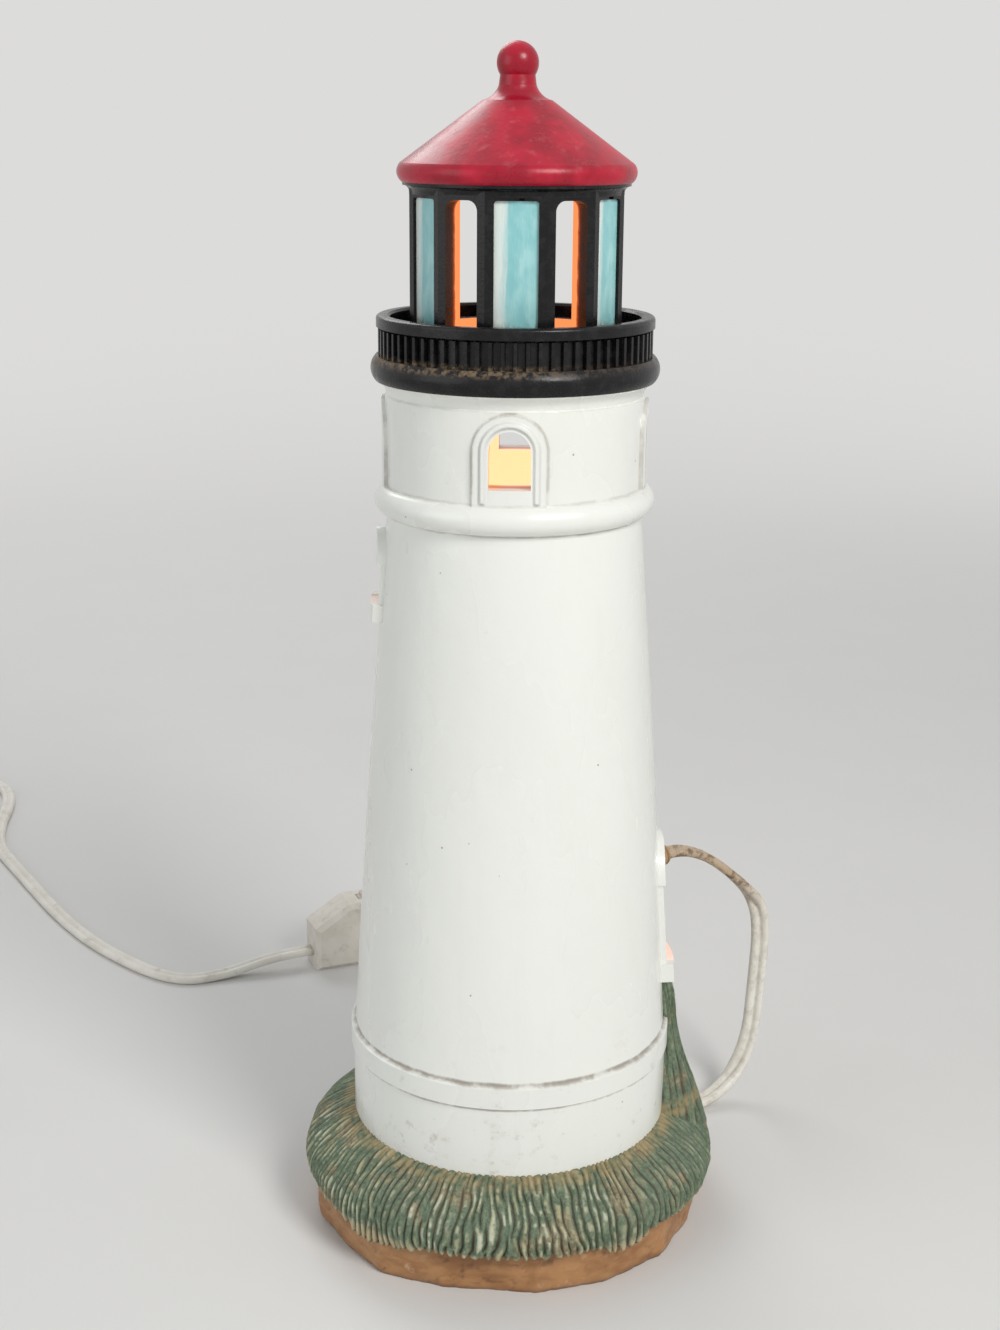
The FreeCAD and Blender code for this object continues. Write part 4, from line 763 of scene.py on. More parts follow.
def grass_material() -> bpy.types.Material:
    """The mound: tan blades, brown between them, brushed green and tipped with white.

    Returns:
        The material.
    """
    material, graph = new_material("painted_grass")
    at = graph.place()
    x, y, z = graph.parts(at)
    raised = graph.add("ShaderNodeAttribute", {"attribute_name": "raised"}, output="Fac")
    tone = graph.cloud(at, 7.0, 4.0)
    fine = graph.cloud(graph.stretch(at, (1.0, 1.0, 0.7)), 0.9, 4.0, 0.65)
    leaf = graph.mix(graph.ramp(fine, 0.35, 0.65), (0.070, 0.110, 0.062), (0.155, 0.205, 0.130))
    straw = graph.mix(graph.ramp(fine, 0.35, 0.65), (0.18, 0.14, 0.075), (0.34, 0.285, 0.17))
    patch = graph.ramp(graph.cloud(at, 10.0, 4.0, 0.6), 0.52, 0.66)
    colour = graph.mix(patch * 0.8, leaf, straw)
    groove = graph.ramp(raised, 0.58, 0.20)
    dark = graph.mix(graph.ramp(tone, 0.4, 0.6), (0.030, 0.026, 0.016), (0.075, 0.048, 0.024))
    colour = graph.mix(groove * 0.95, colour, dark)
    chalk = graph.mix(graph.ramp(tone, 0.4, 0.62), (0.44, 0.40, 0.23), (0.60, 0.62, 0.47))
    front = graph.ramp(x * 0.6 + y * 0.8, 10.0, -50.0, 0.35, 0.95)
    streak = graph.cloud(at, 2.8, 2.0, 0.5)
    tips = graph.ramp(raised, 0.62, 0.86) * graph.ramp(streak, 0.40, 0.62) * front
    colour = graph.mix(tips, colour, chalk)
    collar = graph.ramp(z, 26.8, 29.0) * graph.ramp(z, 33.0, 30.5) * graph.ramp(streak, 0.3, 0.6)
    colour = graph.mix(collar * 0.75, colour, (0.36, 0.27, 0.13))
    hem = graph.ramp(z, 14.6, 12.2) * graph.ramp(raised, 0.3, 0.7) * 0.7
    colour = graph.mix(hem, colour, (0.56, 0.46, 0.28))
    graph.surface(
        Base_Color=colour,
        Roughness=graph.ramp(fine, 0.3, 0.7, 0.48, 0.7),
        Normal=graph.relief(fine, 0.25),
    )
    return material


def lead_material() -> bpy.types.Material:
    """The lamp's lead: ivory flex, tan and then dark brown in patches near where it leaves the
    tower.

    Returns:
        The material.
    """
    material, graph = new_material("flex_darker_near_tower")
    at = graph.place()
    x, _, z = graph.parts(at)
    patches = graph.cloud(at, 8.0)
    colour = graph.mix(graph.ramp(patches, 0.3, 0.7), IVORY.dark, IVORY.light)
    near = graph.ramp(z, 58.0, 76.0)
    colour = graph.mix(near * 0.8, colour, (0.42, 0.28, 0.15))
    # Darker brown patches near where the cord leaves the tower.
    dark_patch = graph.ramp(graph.cloud(at, 3.2, 6.0, 0.72), 0.46, 0.62)
    colour = graph.mix(dark_patch * graph.ramp(near, 0.0, 1.0, 0.18, 0.8), colour, (0.11, 0.06, 0.03))
    graph.surface(
        Base_Color=colour,
        Roughness=graph.ramp(patches, 0.2, 0.8, 0.48, 0.36) + dark_patch * 0.2,
        Normal=graph.relief(graph.cloud(at, 0.6, 2.0), 0.03),
    )
    return material


def glass_material(name: str, tint: Colour, glow: float) -> bpy.types.Material:
    """Clear lamp glass.

    Args:
        name: The material's name.
        tint: Its colour.
        glow: How brightly the lit lamp fills it.

    Returns:
        The material.
    """
    material, graph = new_material(name)
    at = graph.place()
    cloud = graph.cloud(at, 6.0, 2.0)
    colour = graph.mix(cloud, tint, (0.98, 0.96, 0.92))
    graph.surface(
        Base_Color=colour,
        Roughness=graph.ramp(cloud, 0.2, 0.8, 0.02, 0.06),
        Transmission_Weight=0.9,
        IOR=1.46,
        Emission_Color=graph.mix(cloud, (1.0, 0.52, 0.2), (1.0, 0.62, 0.3)),
        Emission_Strength=glow,
    )
    return material


def filament_material() -> bpy.types.Material:
    """The lit filament.

    Returns:
        The material.
    """
    material, graph = new_material("lit_filament")
    cloud = graph.cloud(graph.place(), 1.0, 2.0)
    graph.surface(
        Base_Color=graph.mix(cloud, (0.30, 0.28, 0.26), (0.42, 0.40, 0.38)),
        Metallic=1.0,
        Roughness=0.4,
        Emission_Color=graph.mix(cloud, (1.0, 0.55, 0.2), (1.0, 0.7, 0.35)),
        Emission_Strength=12.0,
    )
    return material


# ------------------------------------------------------------------ meshes
def mesh_object(
    name: str, points: np.ndarray, faces: Iterable[Sequence[int]],
    raised: np.ndarray | None = None,
) -> bpy.types.Object:
    """Makes a smooth mesh object from points in millimetres.

    Args:
        name: The object's name.
        points: Rows of x, y and z.
        faces: Rows of point numbers.
        raised: How high each point stands, from 0 to 1, for the material.

    Returns:
        The object, linked to the scene.
    """
    mesh = bpy.data.meshes.new(name)
    mesh.from_pydata((points * MM).tolist(), [], [list(face) for face in faces])
    mesh.polygons.foreach_set("use_smooth", [True] * len(mesh.polygons))
    if raised is not None:
        attribute = mesh.attributes.new("raised", "FLOAT", "POINT")
        attribute.data.foreach_set("value", raised.astype(np.float32))
    mesh.update()
    thing = bpy.data.objects.new(name, mesh)
    bpy.context.scene.collection.objects.link(thing)
    LOG.info("made %s with %d faces", name, len(mesh.polygons))
    return thing


def grid_faces(rows: int, columns: int, closed_rows: bool) -> list[tuple[int, ...]]:
    """Faces of a grid that is closed across its columns.

    Args:
        rows: How many rings there are.
        columns: How many points a ring has.
        closed_rows: Whether the last ring joins the first.

    Returns:
        The faces, outward for rings that rise with columns that run anticlockwise.
    """
    faces = []
    for row in range(rows if closed_rows else rows - 1):
        after = (row + 1) % rows
        for column in range(columns):
            beside = (column + 1) % columns
            faces.append((
                row * columns + column, row * columns + beside,
                after * columns + beside, after * columns + column,
            ))
    return faces


def ridge(x: float, y: float, z: float) -> float:
    """Noise with sharp valleys.

    Args:
        x: First coordinate.
        y: Second coordinate.
        z: Third coordinate.

    Returns:
        From 0 in a valley to about 1 on a ridge.
    """
    return min(1.0, abs(noise.noise(Vector((x, y, z)))) * 2.2)


def tower_radius(height: float) -> float:
    """The tower's outer radius.

    Args:
        height: Above the floor, in millimetres.

    Returns:
        The radius, in millimetres.
    """
    if height < CONE_FOOT[1]:
        return FOOT_RADIUS
    share = min(1.0, (height - CONE_FOOT[1]) / (CONE_HEAD[1] - CONE_FOOT[1]))
    return CONE_FOOT[0] + (CONE_HEAD[0] - CONE_FOOT[0]) * share


def rock_reach(turn: float, reach: float) -> float:
    """The faceted plinth's radius in one direction.

    Args:
        turn: Degrees from the front towards +X.
        reach: The plinth's mean radius at this height.

    Returns:
        The radius, in millimetres.
    """
    turns = [corner[0] for corner in ROCK_CORNERS]
    wrapped = (turn - turns[0]) % 360 + turns[0]
    count = len(ROCK_CORNERS)
    for number in range(count):
        start, first = ROCK_CORNERS[number]
        stop, second = ROCK_CORNERS[(number + 1) % count]
        if number + 1 == count:
            stop += 360
        if start <= wrapped <= stop:
            a, b = reach + first, reach + second
            across = math.radians(stop - start)
            along = math.radians(wrapped - start)
            return a * b * math.sin(across) / (
                a * math.sin(along) + b * math.sin(across - along))
    return reach


@dataclass
class Plinth:
    """The rock foot and the grass that grows over it, in millimetres.

    Attributes:
        columns: How many points a ring of the rock has.
        rock_height: The level of the rock's top.
        rock_floor: The level of the floor inside the rock.
        rock_radius: Its mean radius at the foot and at the top.
        rock_swell: How much wider it is at its belly.
        belly: The level of the belly.
        room: The radius of the room inside it.
        blades: How many blades of grass stand round the mound.
        steps: How many points there are across a blade.
        slope: Radius and level along the mound's skin, from the hem up to the tower.
        underside: Radius and level along the hidden way back to the hem.
        hem: The level below which the underside hangs as the skin does.
        bank: Radius and level of the bank below the doorway, from its foot up.
        bank_columns: How many points a ring of the bank has.
        bank_blades: How many blades stand round the bank.
        bank_from_axis: How far the bank's middle is from the tower's axis.
        reach: How far the bank may stand from the tower's axis.
    """

    columns: int = 420
    rock_height: float = 16.0
    rock_floor: float = 5.0
    rock_radius: float = 54.6
    rock_swell: float = 0.8
    belly: float = 6.4
    room: float = 37.8
    blades: int = 178
    steps: int = 8
    slope: tuple[tuple[float, float], ...] = (
        (58.3, 12.7), (58.85, 13.8), (58.95, 15.1), (58.9, 16.4), (58.6, 17.8),
        (58.1, 19.2), (57.3, 20.6), (56.3, 21.9), (55.0, 23.2), (53.6, 24.4),
        (52.1, 25.5), (50.6, 26.5), (49.1, 27.4), (47.6, 28.3), (46.2, 29.0),
        (45.0, 29.6), (44.1, 29.9),
    )
    underside: tuple[tuple[float, float], ...] = (
        (44.05, 24.0), (38.0, 24.0), (38.0, 16.05), (54.0, 16.05), (54.5, 13.6),
        (57.0, 12.7),
    )
    hem: float = 13.7
    bank: tuple[tuple[float, float], ...] = (
        (18.6, 17.0), (18.2, 20.0), (17.2, 24.0), (15.6, 29.0), (13.6, 34.5),
        (11.6, 40.0), (9.9, 45.5), (8.8, 50.5), (8.2, 55.5), (7.7, 60.0),
        (6.8, 64.0), (5.2, 67.5), (2.9, 69.8), (0.3, 70.6),
    )
    bank_columns: int = 160
    bank_blades: int = 30
    bank_from_axis: float = 40.0
    reach: float = 58.9

    def rock(self) -> bpy.types.Object:
        """Builds the rock.

        Returns:
            The rock, in place of its CAD piece.
        """
        top, floor = self.rock_height, self.rock_floor
        side = [0.0, 0.5, *np.linspace(1.3, top - 1.2, 16), top]
        rings = [(0.0, Side.AXIS), *((level, Side.SKIN) for level in side)]
        rings += [(top, Side.ROOM), (floor, Side.ROOM), (floor, Side.AXIS)]
        points, raised = [], []
        for level, kind in rings:
            for column in range(self.columns):
                turn = 360 * column / self.columns
                radius, up = self._rock_point(turn, level, kind)
                angle = math.radians(turn - 90)
                points.append((radius * math.cos(angle), radius * math.sin(angle), level))
                raised.append(up)
        faces = grid_faces(len(rings), self.columns, False)
        last = (len(rings) - 1) * self.columns
        faces.append(tuple(reversed(range(self.columns))))
        faces.append(tuple(range(last, last + self.columns)))
        rock = mesh_object("rock_skin", np.array(points), faces, np.array(raised))
        rock.data.materials.append(rock_material())
        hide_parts("rock_plinth")
        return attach(rock, Body.ORNAMENT.value)

    def _rock_point(self, turn: float, level: float, kind: Side) -> tuple[float, float]:
        """One point of the rock.

        Args:
            turn: Degrees from the front towards +X.
            level: Its height, in millimetres.
            kind: Which face it belongs to.

        Returns:
            Its radius and how high it stands for the material.
        """
        if kind is Side.AXIS:
            return 0.4, 0.5
        if kind is Side.ROOM:
            return self.room, 0.5
        away = abs(level - self.belly) / (self.rock_height - self.belly)
        base = rock_reach(turn, self.rock_radius + self.rock_swell * (1 - away))
        angle = math.radians(turn)
        around = (base * math.sin(angle), base * math.cos(angle))
        broad = ridge(around[0] * 0.055, around[1] * 0.055, level * 0.11)
        chips = ridge(around[0] * 0.17 + 9, around[1] * 0.17, level * 0.24)
        grit = ridge(around[0] * 0.6, around[1] * 0.6 + 5, level * 0.7)
        cut = 0.5 * (1 - broad) + 0.3 * (1 - chips) ** 2 + 0.04 * (1 - grit)
        edge = 0.7 * max(0.0, 1 - level / 1.6)
        return base - cut - edge, 0.35 * broad + 0.45 * chips + 0.2 * grit

    def grass(self) -> bpy.types.Object:
        """Builds the mound, with its furrowed blades and the bank below the doorway.

        Returns:
            The mound, in place of its CAD piece.
        """
        places = np.linspace(0, len(self.slope) - 1, 2 * len(self.slope) + 3)
        knots = range(len(self.slope))
        skin = list(zip(*(np.interp(places, knots, side) for side in zip(*self.slope))))
        rows = skin + list(self.underside)
        around = self.blades * self.steps
        points, raised = [], []
        for row, (radius, level) in enumerate(rows):
            for column in range(around):
                angle = 2 * math.pi * column / around
                spot, up = self._blade(radius, level, angle, row, len(skin))
                points.append(spot)
                raised.append(up)
        faces = grid_faces(len(rows), around, True)
        start = len(points)
        bank_points, bank_raised, bank_faces = self._bank(start)
        points += bank_points
        raised += bank_raised
        faces += bank_faces
        grass = mesh_object("grass_skin", np.array(points), faces, np.array(raised))
        grass.data.materials.append(grass_material())
        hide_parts("grass_mound")
        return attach(grass, Body.ORNAMENT.value)

    def _blade(
        self, radius: float, level: float, angle: float, row: int, skin_rows: int,
    ) -> tuple[Point, float]:
        """One point of the mound.

        Args:
            radius: The smooth mound's radius here, in millimetres.
            level: Its height.
            angle: The direction, in radians from +X.
            row: Which ring it is on, from the hem up.
            skin_rows: How many rings are seen.

        Returns:
            The point, and how high it stands for the material.
        """
        c, s = math.cos(angle), math.sin(angle)
        if row >= skin_rows:
            drop = self._hang(angle) if level < self.hem else 0.0
            return (radius * c, radius * s, level - drop), 0.3
        down = row / (skin_rows - 1)
        height = self._groove(angle, down)
        lump = 0.5 + 0.5 * noise.noise(Vector((c * 4.5, s * 4.5, down * 4)))
        depth = 1.9 * (1 - height) * (1 - 0.45 * down) + 1.0 * (1 - lump) * (1 - down)
        drop = (self._hang(angle) + 1.3 * height) * max(0.0, 1 - row / 6.5)
        top = min(1.0, down * 1.15)
        spot_radius = max(radius - depth * (1 - 0.45 * top), FOOT_RADIUS + 0.05)
        spot_level = level - depth * 0.75 * top - drop
        return (spot_radius * c, spot_radius * s, spot_level), height

    def _groove(self, angle: float, down: float) -> float:
        """How high the blades stand at one place.

        Args:
            angle: The direction, in radians from +X.
            down: From 0 at the hem to 1 at the tower.

        Returns:
            From 0 between two blades to 1 along the middle of one.
        """
        c, s = math.cos(angle), math.sin(angle)
        lean = 1.0 * noise.noise(Vector((c * 2.2, s * 2.2, down * 1.4)))
        lean += 0.5 * noise.noise(Vector((c * 7, s * 7, down * 3 + 5)))
        lean += 0.3 * noise.noise(Vector((c * 20, s * 20, down * 5 + 9)))
        share = noise.noise(Vector((c * 8, s * 8, down * 2.6 + 17))) * 3 + 0.5
        share = min(1.0, max(0.0, share))
        lower = self._one_blade(angle / (2 * math.pi) * self.blades + lean)
        upper = self._one_blade(angle / (2 * math.pi) * (self.blades * 0.75 // 1) + lean + 0.4)
        return lower * (1 - share) + upper * share

    @staticmethod
    def _one_blade(place: float) -> float:
        """How high one row of blades stands.

        Args:
            place: The place in the row, one for each blade.

        Returns:
            From 0 to 1.
        """
        own = 0.5 + 0.5 * noise.noise(Vector((math.floor(place) * 1.73, 3.1, 0.7)))
        return abs(math.sin(math.pi * place)) ** 0.6 * (0.62 + 0.38 * own)

    @staticmethod
    def _hang(angle: float) -> float:
        """How far the hem hangs below its usual height.

        Args:
            angle: The direction, in radians from +X.

        Returns:
            A length, in millimetres.
        """
        turn = (math.degrees(angle) + 90 + 180) % 360 - 180
        deep = 0.0
        for centre, spread, amount in ((-38, 13, 3.4), (32, 8, 2.6), (150, 16, 2.4)):
            deep += amount * math.exp(-(((turn - centre) / spread) ** 2))
        c, s = math.cos(angle), math.sin(angle)
        wave = noise.noise(Vector((c * 5, s * 5, 2.0))) * 1.6
        tooth = ridge(c * 12, s * 12, 7.0) * 0.9
        return max(-1.2, deep + wave + tooth - 1.4)

    def _bank(self, start: int) -> tuple[list[Point], list[float], list[tuple[int, ...]]]:
        """The grass bank that climbs the tower below the doorway.

        Args:
            start: The number of its first point in the mesh.

        Returns:
            Its points, how high each stands, and its faces.
        """
        outline, columns = self.bank, self.bank_columns
        turn = math.radians(DOOR_TURN)
        away = self.bank_from_axis
        middle = (away * math.sin(turn), -away * math.cos(turn))
        points, raised = [], []
        for row, (radius, level) in enumerate(outline):
            for column in range(columns):
                angle = 2 * math.pi * column / columns
                c, s = math.cos(angle), math.sin(angle)
                lean = 1.3 * noise.noise(Vector((c * 1.6, s * 1.6, row * 0.45)))
                place = angle / (2 * math.pi) * self.bank_blades + lean
                height = 0.8 * self._one_blade(place) + 0.2 * ridge(c * 4, s * 4, row * 0.6)
                wide = radius - 1.5 * (1 - height) * min(1.0, radius / 8)
                x, y = middle[0] + wide * c, middle[1] + wide * s
                out = math.hypot(x, y)
                skin = tower_radius(level) - 0.35
                if out < skin:
                    x, y = x * skin / out, y * skin / out
                if out > self.reach:
                    x, y = x * self.reach / out, y * self.reach / out
                points.append((x, y, level))
                raised.append(height)
        faces = [tuple(start + n for n in face)
                 for face in grid_faces(len(outline), columns, False)]
        last = start + (len(outline) - 1) * columns
        faces.append(tuple(reversed(range(start, start + columns))))
        faces.append(tuple(range(last, last + columns)))
        return points, raised, faces

    def build(self) -> None:
        """Builds both."""
        self.rock()
        self.grass()


# ------------------------------------------------------------------ the frame's pieces
@dataclass
class Castings:
    """The tower, gallery, lantern, panes and roof, which keep their CAD shapes.

    Attributes:
        nodes: The frame's objects by name.
    """

    nodes: dict[str, bpy.types.Object] = field(default_factory=dict)

    def build(self) -> None:
        """Gives every casting its material."""
        materials = {
            "tower_shell": glaze_material(),
            "gallery": black_material("gallery_black", 22.4, 26.5, 0.9),
            "lantern_frame": black_material("lantern_black", 22.4, 25.9, 1.0),
            "roof": roof_material(),
        }
        for number in range(1, 7):
            materials[f"lantern_pane_{number}"] = pane_material(number)
        dress(self.nodes, materials)


@dataclass
class Lamp:
    """The clip-in lampholder and the lamp in it.

    Attributes:
        nodes: The frame's objects by name.
    """

    nodes: dict[str, bpy.types.Object] = field(default_factory=dict)

    def build(self) -> None:
        """Gives every piece its material."""
        tan, brass = TAN.material(), BRASS.material()
        dress(self.nodes, {
            "holder_body": tan,
            "strain_relief": tan,
            "screw_shell": brass,
            "centre_contact": brass,
            "spring_clips": STEEL.material(),
            "bulb_glass": glass_material("lamp_glass", (0.99, 0.88, 0.7), 1.2),
            "bulb_stem": glass_material("stem_glass", (0.9, 0.95, 0.95), 0.6),
            "bulb_cap": CAP.material(),
            "bulb_insulator": BLACK_GLASS.material(),
            "bulb_contact": SOLDER.material(),
            "bulb_filament": filament_material(),
        })


def dress(
    nodes: dict[str, bpy.types.Object], materials: dict[str, bpy.types.Material],
) -> None:
    """Gives pieces of the frame their materials.

    Args:
        nodes: The frame's objects by name.
        materials: The materials by the names of the pieces.
    """
    for name, material in materials.items():
        mesh = nodes[name].data
        mesh.materials.clear()
        mesh.materials.append(material)
        LOG.info("dressed %s in %s", name, material.name)


# ------------------------------------------------------------------ cord, switch and plug
def heading(degrees: float) -> Vector:
    """A direction on the floor.

    Args:
        degrees: From +X, anticlockwise seen from above.

    Returns:
        A unit vector.
    """
    angle = math.radians(degrees)
    return Vector((math.cos(angle), math.sin(angle), 0.0))


def follow(points: Sequence[Vector], steps: int) -> list[Vector]:
    """The smooth line that control points describe.

    Args:
        points: The control points, in millimetres.
        steps: How many steps there are to each.

    Returns:
        Points along the line, in millimetres.
    """
    curve = bpy.data.curves.new("route", "CURVE")
    curve.dimensions = "3D"
    spline = curve.splines.new("NURBS")
    spline.points.add(len(points) - 1)
    for point, target in zip(points, spline.points):
        target.co = (point.x * MM, point.y * MM, point.z * MM, 1.0)
    spline.order_u = 3
    spline.use_endpoint_u = True
    spline.resolution_u = steps
    curve.resolution_u = steps
    holder = bpy.data.objects.new("route", curve)
    bpy.context.scene.collection.objects.link(holder)
    bpy.context.view_layer.update()
    mesh = bpy.data.meshes.new_from_object(holder)
    line = [vertex.co / MM for vertex in mesh.vertices]
    bpy.data.objects.remove(holder)
    bpy.data.meshes.remove(mesh)
    bpy.data.curves.remove(curve)
    kept = [line[0]]
    for point in line[1:]:
        if (point - kept[-1]).length > 0.4:
            kept.append(point)
    return kept


def figure_eight() -> list[tuple[float, float]]:
    """The outline of the flat two-core cord.

    Returns:
        Pairs of a distance along its width and one along its thickness, anticlockwise.
    """
    lobe, middle, points = CORD_WIDE / 4, CORD_WIDE / 4, []
    for step in range(13):
        angle = math.radians(-150 + 25 * step)
        points.append((middle + lobe * math.cos(angle), lobe * math.sin(angle)))
    for step in range(13):
        angle = math.radians(30 + 25 * step)
        points.append((-middle + lobe * math.cos(angle), lobe * math.sin(angle)))
    return points


def flat_cord(name: str, line: Sequence[Vector]) -> bpy.types.Object:
    """Builds the flat cord along a line.

    Args:
        name: The object's name.
        line: The line, in millimetres.

    Returns:
        The cord.
    """
    outline = figure_eight()
    across = Vector((0.35, -0.94, 0.0))
    points = []
    for number, point in enumerate(line):
        ahead = line[min(number + 1, len(line) - 1)] - line[max(number - 1, 0)]
        ahead.normalize()
        flat = Vector((-ahead.y, ahead.x, 0.0))
        if flat.length > 1e-6:
            flat.normalize()
        if flat.dot(across) < 0:
            flat.negate()
        steep = min(1.0, max(0.0, (abs(ahead.z) - 0.6) / 0.35))
        steep = steep * steep * (3 - 2 * steep)
        wanted = flat * (1 - steep) + Vector((1.0, 0.0, 0.0)) * steep
        across = (across * 0.55 + wanted * 0.45)
        across = (across - ahead * across.dot(ahead)).normalized()
        upward = ahead.cross(across)
        points += [tuple(point + across * a + upward * b) for a, b in outline]
    columns = len(outline)
    faces = grid_faces(len(line), columns, False)
    last = (len(line) - 1) * columns
    faces.append(tuple(reversed(range(columns))))
    faces.append(tuple(range(last, last + columns)))
    return mesh_object(name, np.array(points), faces)


@dataclass
class Supply:
    """The two lengths of flat cord, the cord switch, and the plug.

    Attributes:
        nodes: The frame's objects by name.
        lamp_length: The lamp lead's length, in metres. Not used.
        supply_length: The supply lead's length, in metres. Not used.
        switch_runs: How far the cord stays in line with the switch at its lamp end and at
            its plug end, in millimetres.
        coil_runs: How far before the coil its heading is taken up, in millimetres.
        plug_runs: The straight lengths from the coil to the plug, in millimetres.
        plug_turn: How far the cord turns at each of them, in degrees.
        still_end: Where the lamp lead stays with the ornament, in metres. Not used.
        drawn_end: Where it goes with the lampholder. Not used.
        switch_nodes: The switch's pieces. Not used.
        plug_nodes: The plug's pieces. Not used.
    """

    nodes: dict[str, bpy.types.Object] = field(default_factory=dict)
    lamp_length: float = 0.32
    supply_length: float = 1.42
    switch_runs: tuple[float, float] = (16.0, 14.0)
    coil_runs: tuple[float, float] = (30.0, 5.0)
    plug_runs: tuple[float, float, float] = (26.0, 30.0, 18.0)
    plug_turn: float = 13.0
    still_end: Point = (0.06, 0.05, 0.008)
    drawn_end: Point = (0.06, 0.05, 0.084)
    switch_nodes: tuple[str, ...] = (
        "switch_shell_front", "switch_shell_back", "switch_wheel", "switch_screws",
        "switch_contacts",
    )
    plug_nodes: tuple[str, ...] = ("plug_body", "plug_blade_left", "plug_blade_right")

    def ends(self) -> tuple[Vector, Vector, Vector]:
        """Where the cord meets the switch.

        Returns:
            The end towards the plug, the end towards the lamp, and the way between.
        """
        along = heading(SWITCH_TURN)
        middle = heading(SWITCH_TURN + 90) * (SWITCH_SIZE[1] / 2)
        near = Vector((*SWITCH_CORNER, SWITCH_ENTRY)) + middle
        return near, near + along * SWITCH_SIZE[0], along

    def lamp_lead(self) -> bpy.types.Object:
        """The length from the lampholder round the back to the switch.

        Returns:
            The cord.
        """
        _, far, along = self.ends()
        route = [Vector(point) for point in LOOP_ROUTE]
        route += [Vector((x, y, CORD_REST)) for x, y in BACK_ROUTE]
        route += [far + along * self.switch_runs[0], far]
        line = follow(route, 10)
        lead = flat_cord("lamp_lead", line)
        lead.data.materials.append(lead_material())
        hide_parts("cord_loop")
        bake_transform(lead)
        line[0] * MM
        [tuple(point * MM) for point in line]
        return lead

    def supply_lead(self) -> bpy.types.Object:
        """The length from the switch over the floor, coiled, to the plug.

        Returns:
            The cord.
        """
        near, _, along = self.ends()
        coil = self.coil()
        into = (coil[1] - coil[0]).normalized()
        route = [near, near - along * self.switch_runs[1]]
        route += [Vector((x, y, CORD_REST)) for x, y in LEFT_ROUTE]
        route += [coil[0] - into * run for run in self.coil_runs]
        route += coil
        leave = COIL_HEADING + 360 * COIL_TURNS
        turned, nose = leave - self.plug_turn, leave - 2 * self.plug_turn
        off = coil[-1] + heading(leave) * self.plug_runs[0]
        before = off + heading(turned) * self.plug_runs[1]
        before.z = PLUG_CORD_HEIGHT
        route += [off, before, before + heading(nose) * self.plug_runs[2]]
        line = follow(route, 8)
        lead = flat_cord("supply_lead", line)
        lead.data.materials.append(IVORY.material())
        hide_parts("cord_run", "cord_coil", "cord_tail")
        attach(lead, Body.ORNAMENT.value)
        line[0] * MM
        [tuple(point * MM) for point in line]
        return lead

    @staticmethod
    def coil() -> list[Vector]:
        """Control points of the put-away length: in, up a layer, and out again.

        Returns:
            The points, in millimetres.
        """
        wound = (COIL_TURNS - COIL_SETTLE) / 2
        widest = COIL_RADIUS + COIL_PITCH * wound / 2
        begin = math.radians(COIL_HEADING - 90)
        centre = Vector((*COIL_ENTRY, 0.0)) - Vector(
            (widest * math.cos(begin), widest * math.sin(begin), 0.0))
        points = []
        for step in range(int(COIL_TURNS * COIL_STEPS) + 1):
            turns = step / COIL_STEPS
            inward = min(turns, wound)
            outward = max(0.0, turns - wound - COIL_SETTLE)
            share = min(1.0, max(0.0, (turns - wound) / COIL_SETTLE))
            dip = 0.25 * COIL_PITCH * COIL_SETTLE * math.sin(math.pi * share)
            radius = (widest - COIL_PITCH * (inward - outward) - dip) * COIL_EASE
            height = CORD_REST + COIL_LAYER * share * share * (3 - 2 * share)
            angle = begin + 2 * math.pi * turns
            points.append(centre + Vector(
                (radius * math.cos(angle), radius * math.sin(angle), height)))
        return points

    def build(self) -> None:
        """Builds the cords and dresses the switch and the plug."""
        shell, blades = SHELL.material(), BRASS.material()
        dress(self.nodes, {
            "switch_shell_front": shell,
            "switch_shell_back": shell,
            "switch_wheel": WHEEL.material(),
            "switch_screws": STEEL.material(),
            "switch_contacts": blades,
            "plug_body": PLUG.material(),
            "plug_blade_left": blades,
            "plug_blade_right": blades,
        })
        self.lamp_lead()
        self.supply_lead()


# ------------------------------------------------------------------ stage
@dataclass(frozen=True)
class Softbox:
    """A studio lamp.

    Attributes:
        name: Its name.
        at: Where it stands, in metres.
        size: How wide it is.
        watts: How bright it is.
        tint: Its colour.
    """

    name: str
    at: Point
    size: float
    watts: float
    tint: Colour = (1.0, 1.0, 1.0)


SOFTBOXES = (
    Softbox("key", (0.62, -0.85, 0.95), 0.45, 10.8, (1.0, 0.985, 0.96)),
    Softbox("fill", (-0.95, -0.55, 0.50), 0.80, 2.4, (0.96, 0.98, 1.0)),
    Softbox("back", (-0.35, 0.90, 0.95), 0.60, 3.6, (1.0, 1.0, 1.0)),
)


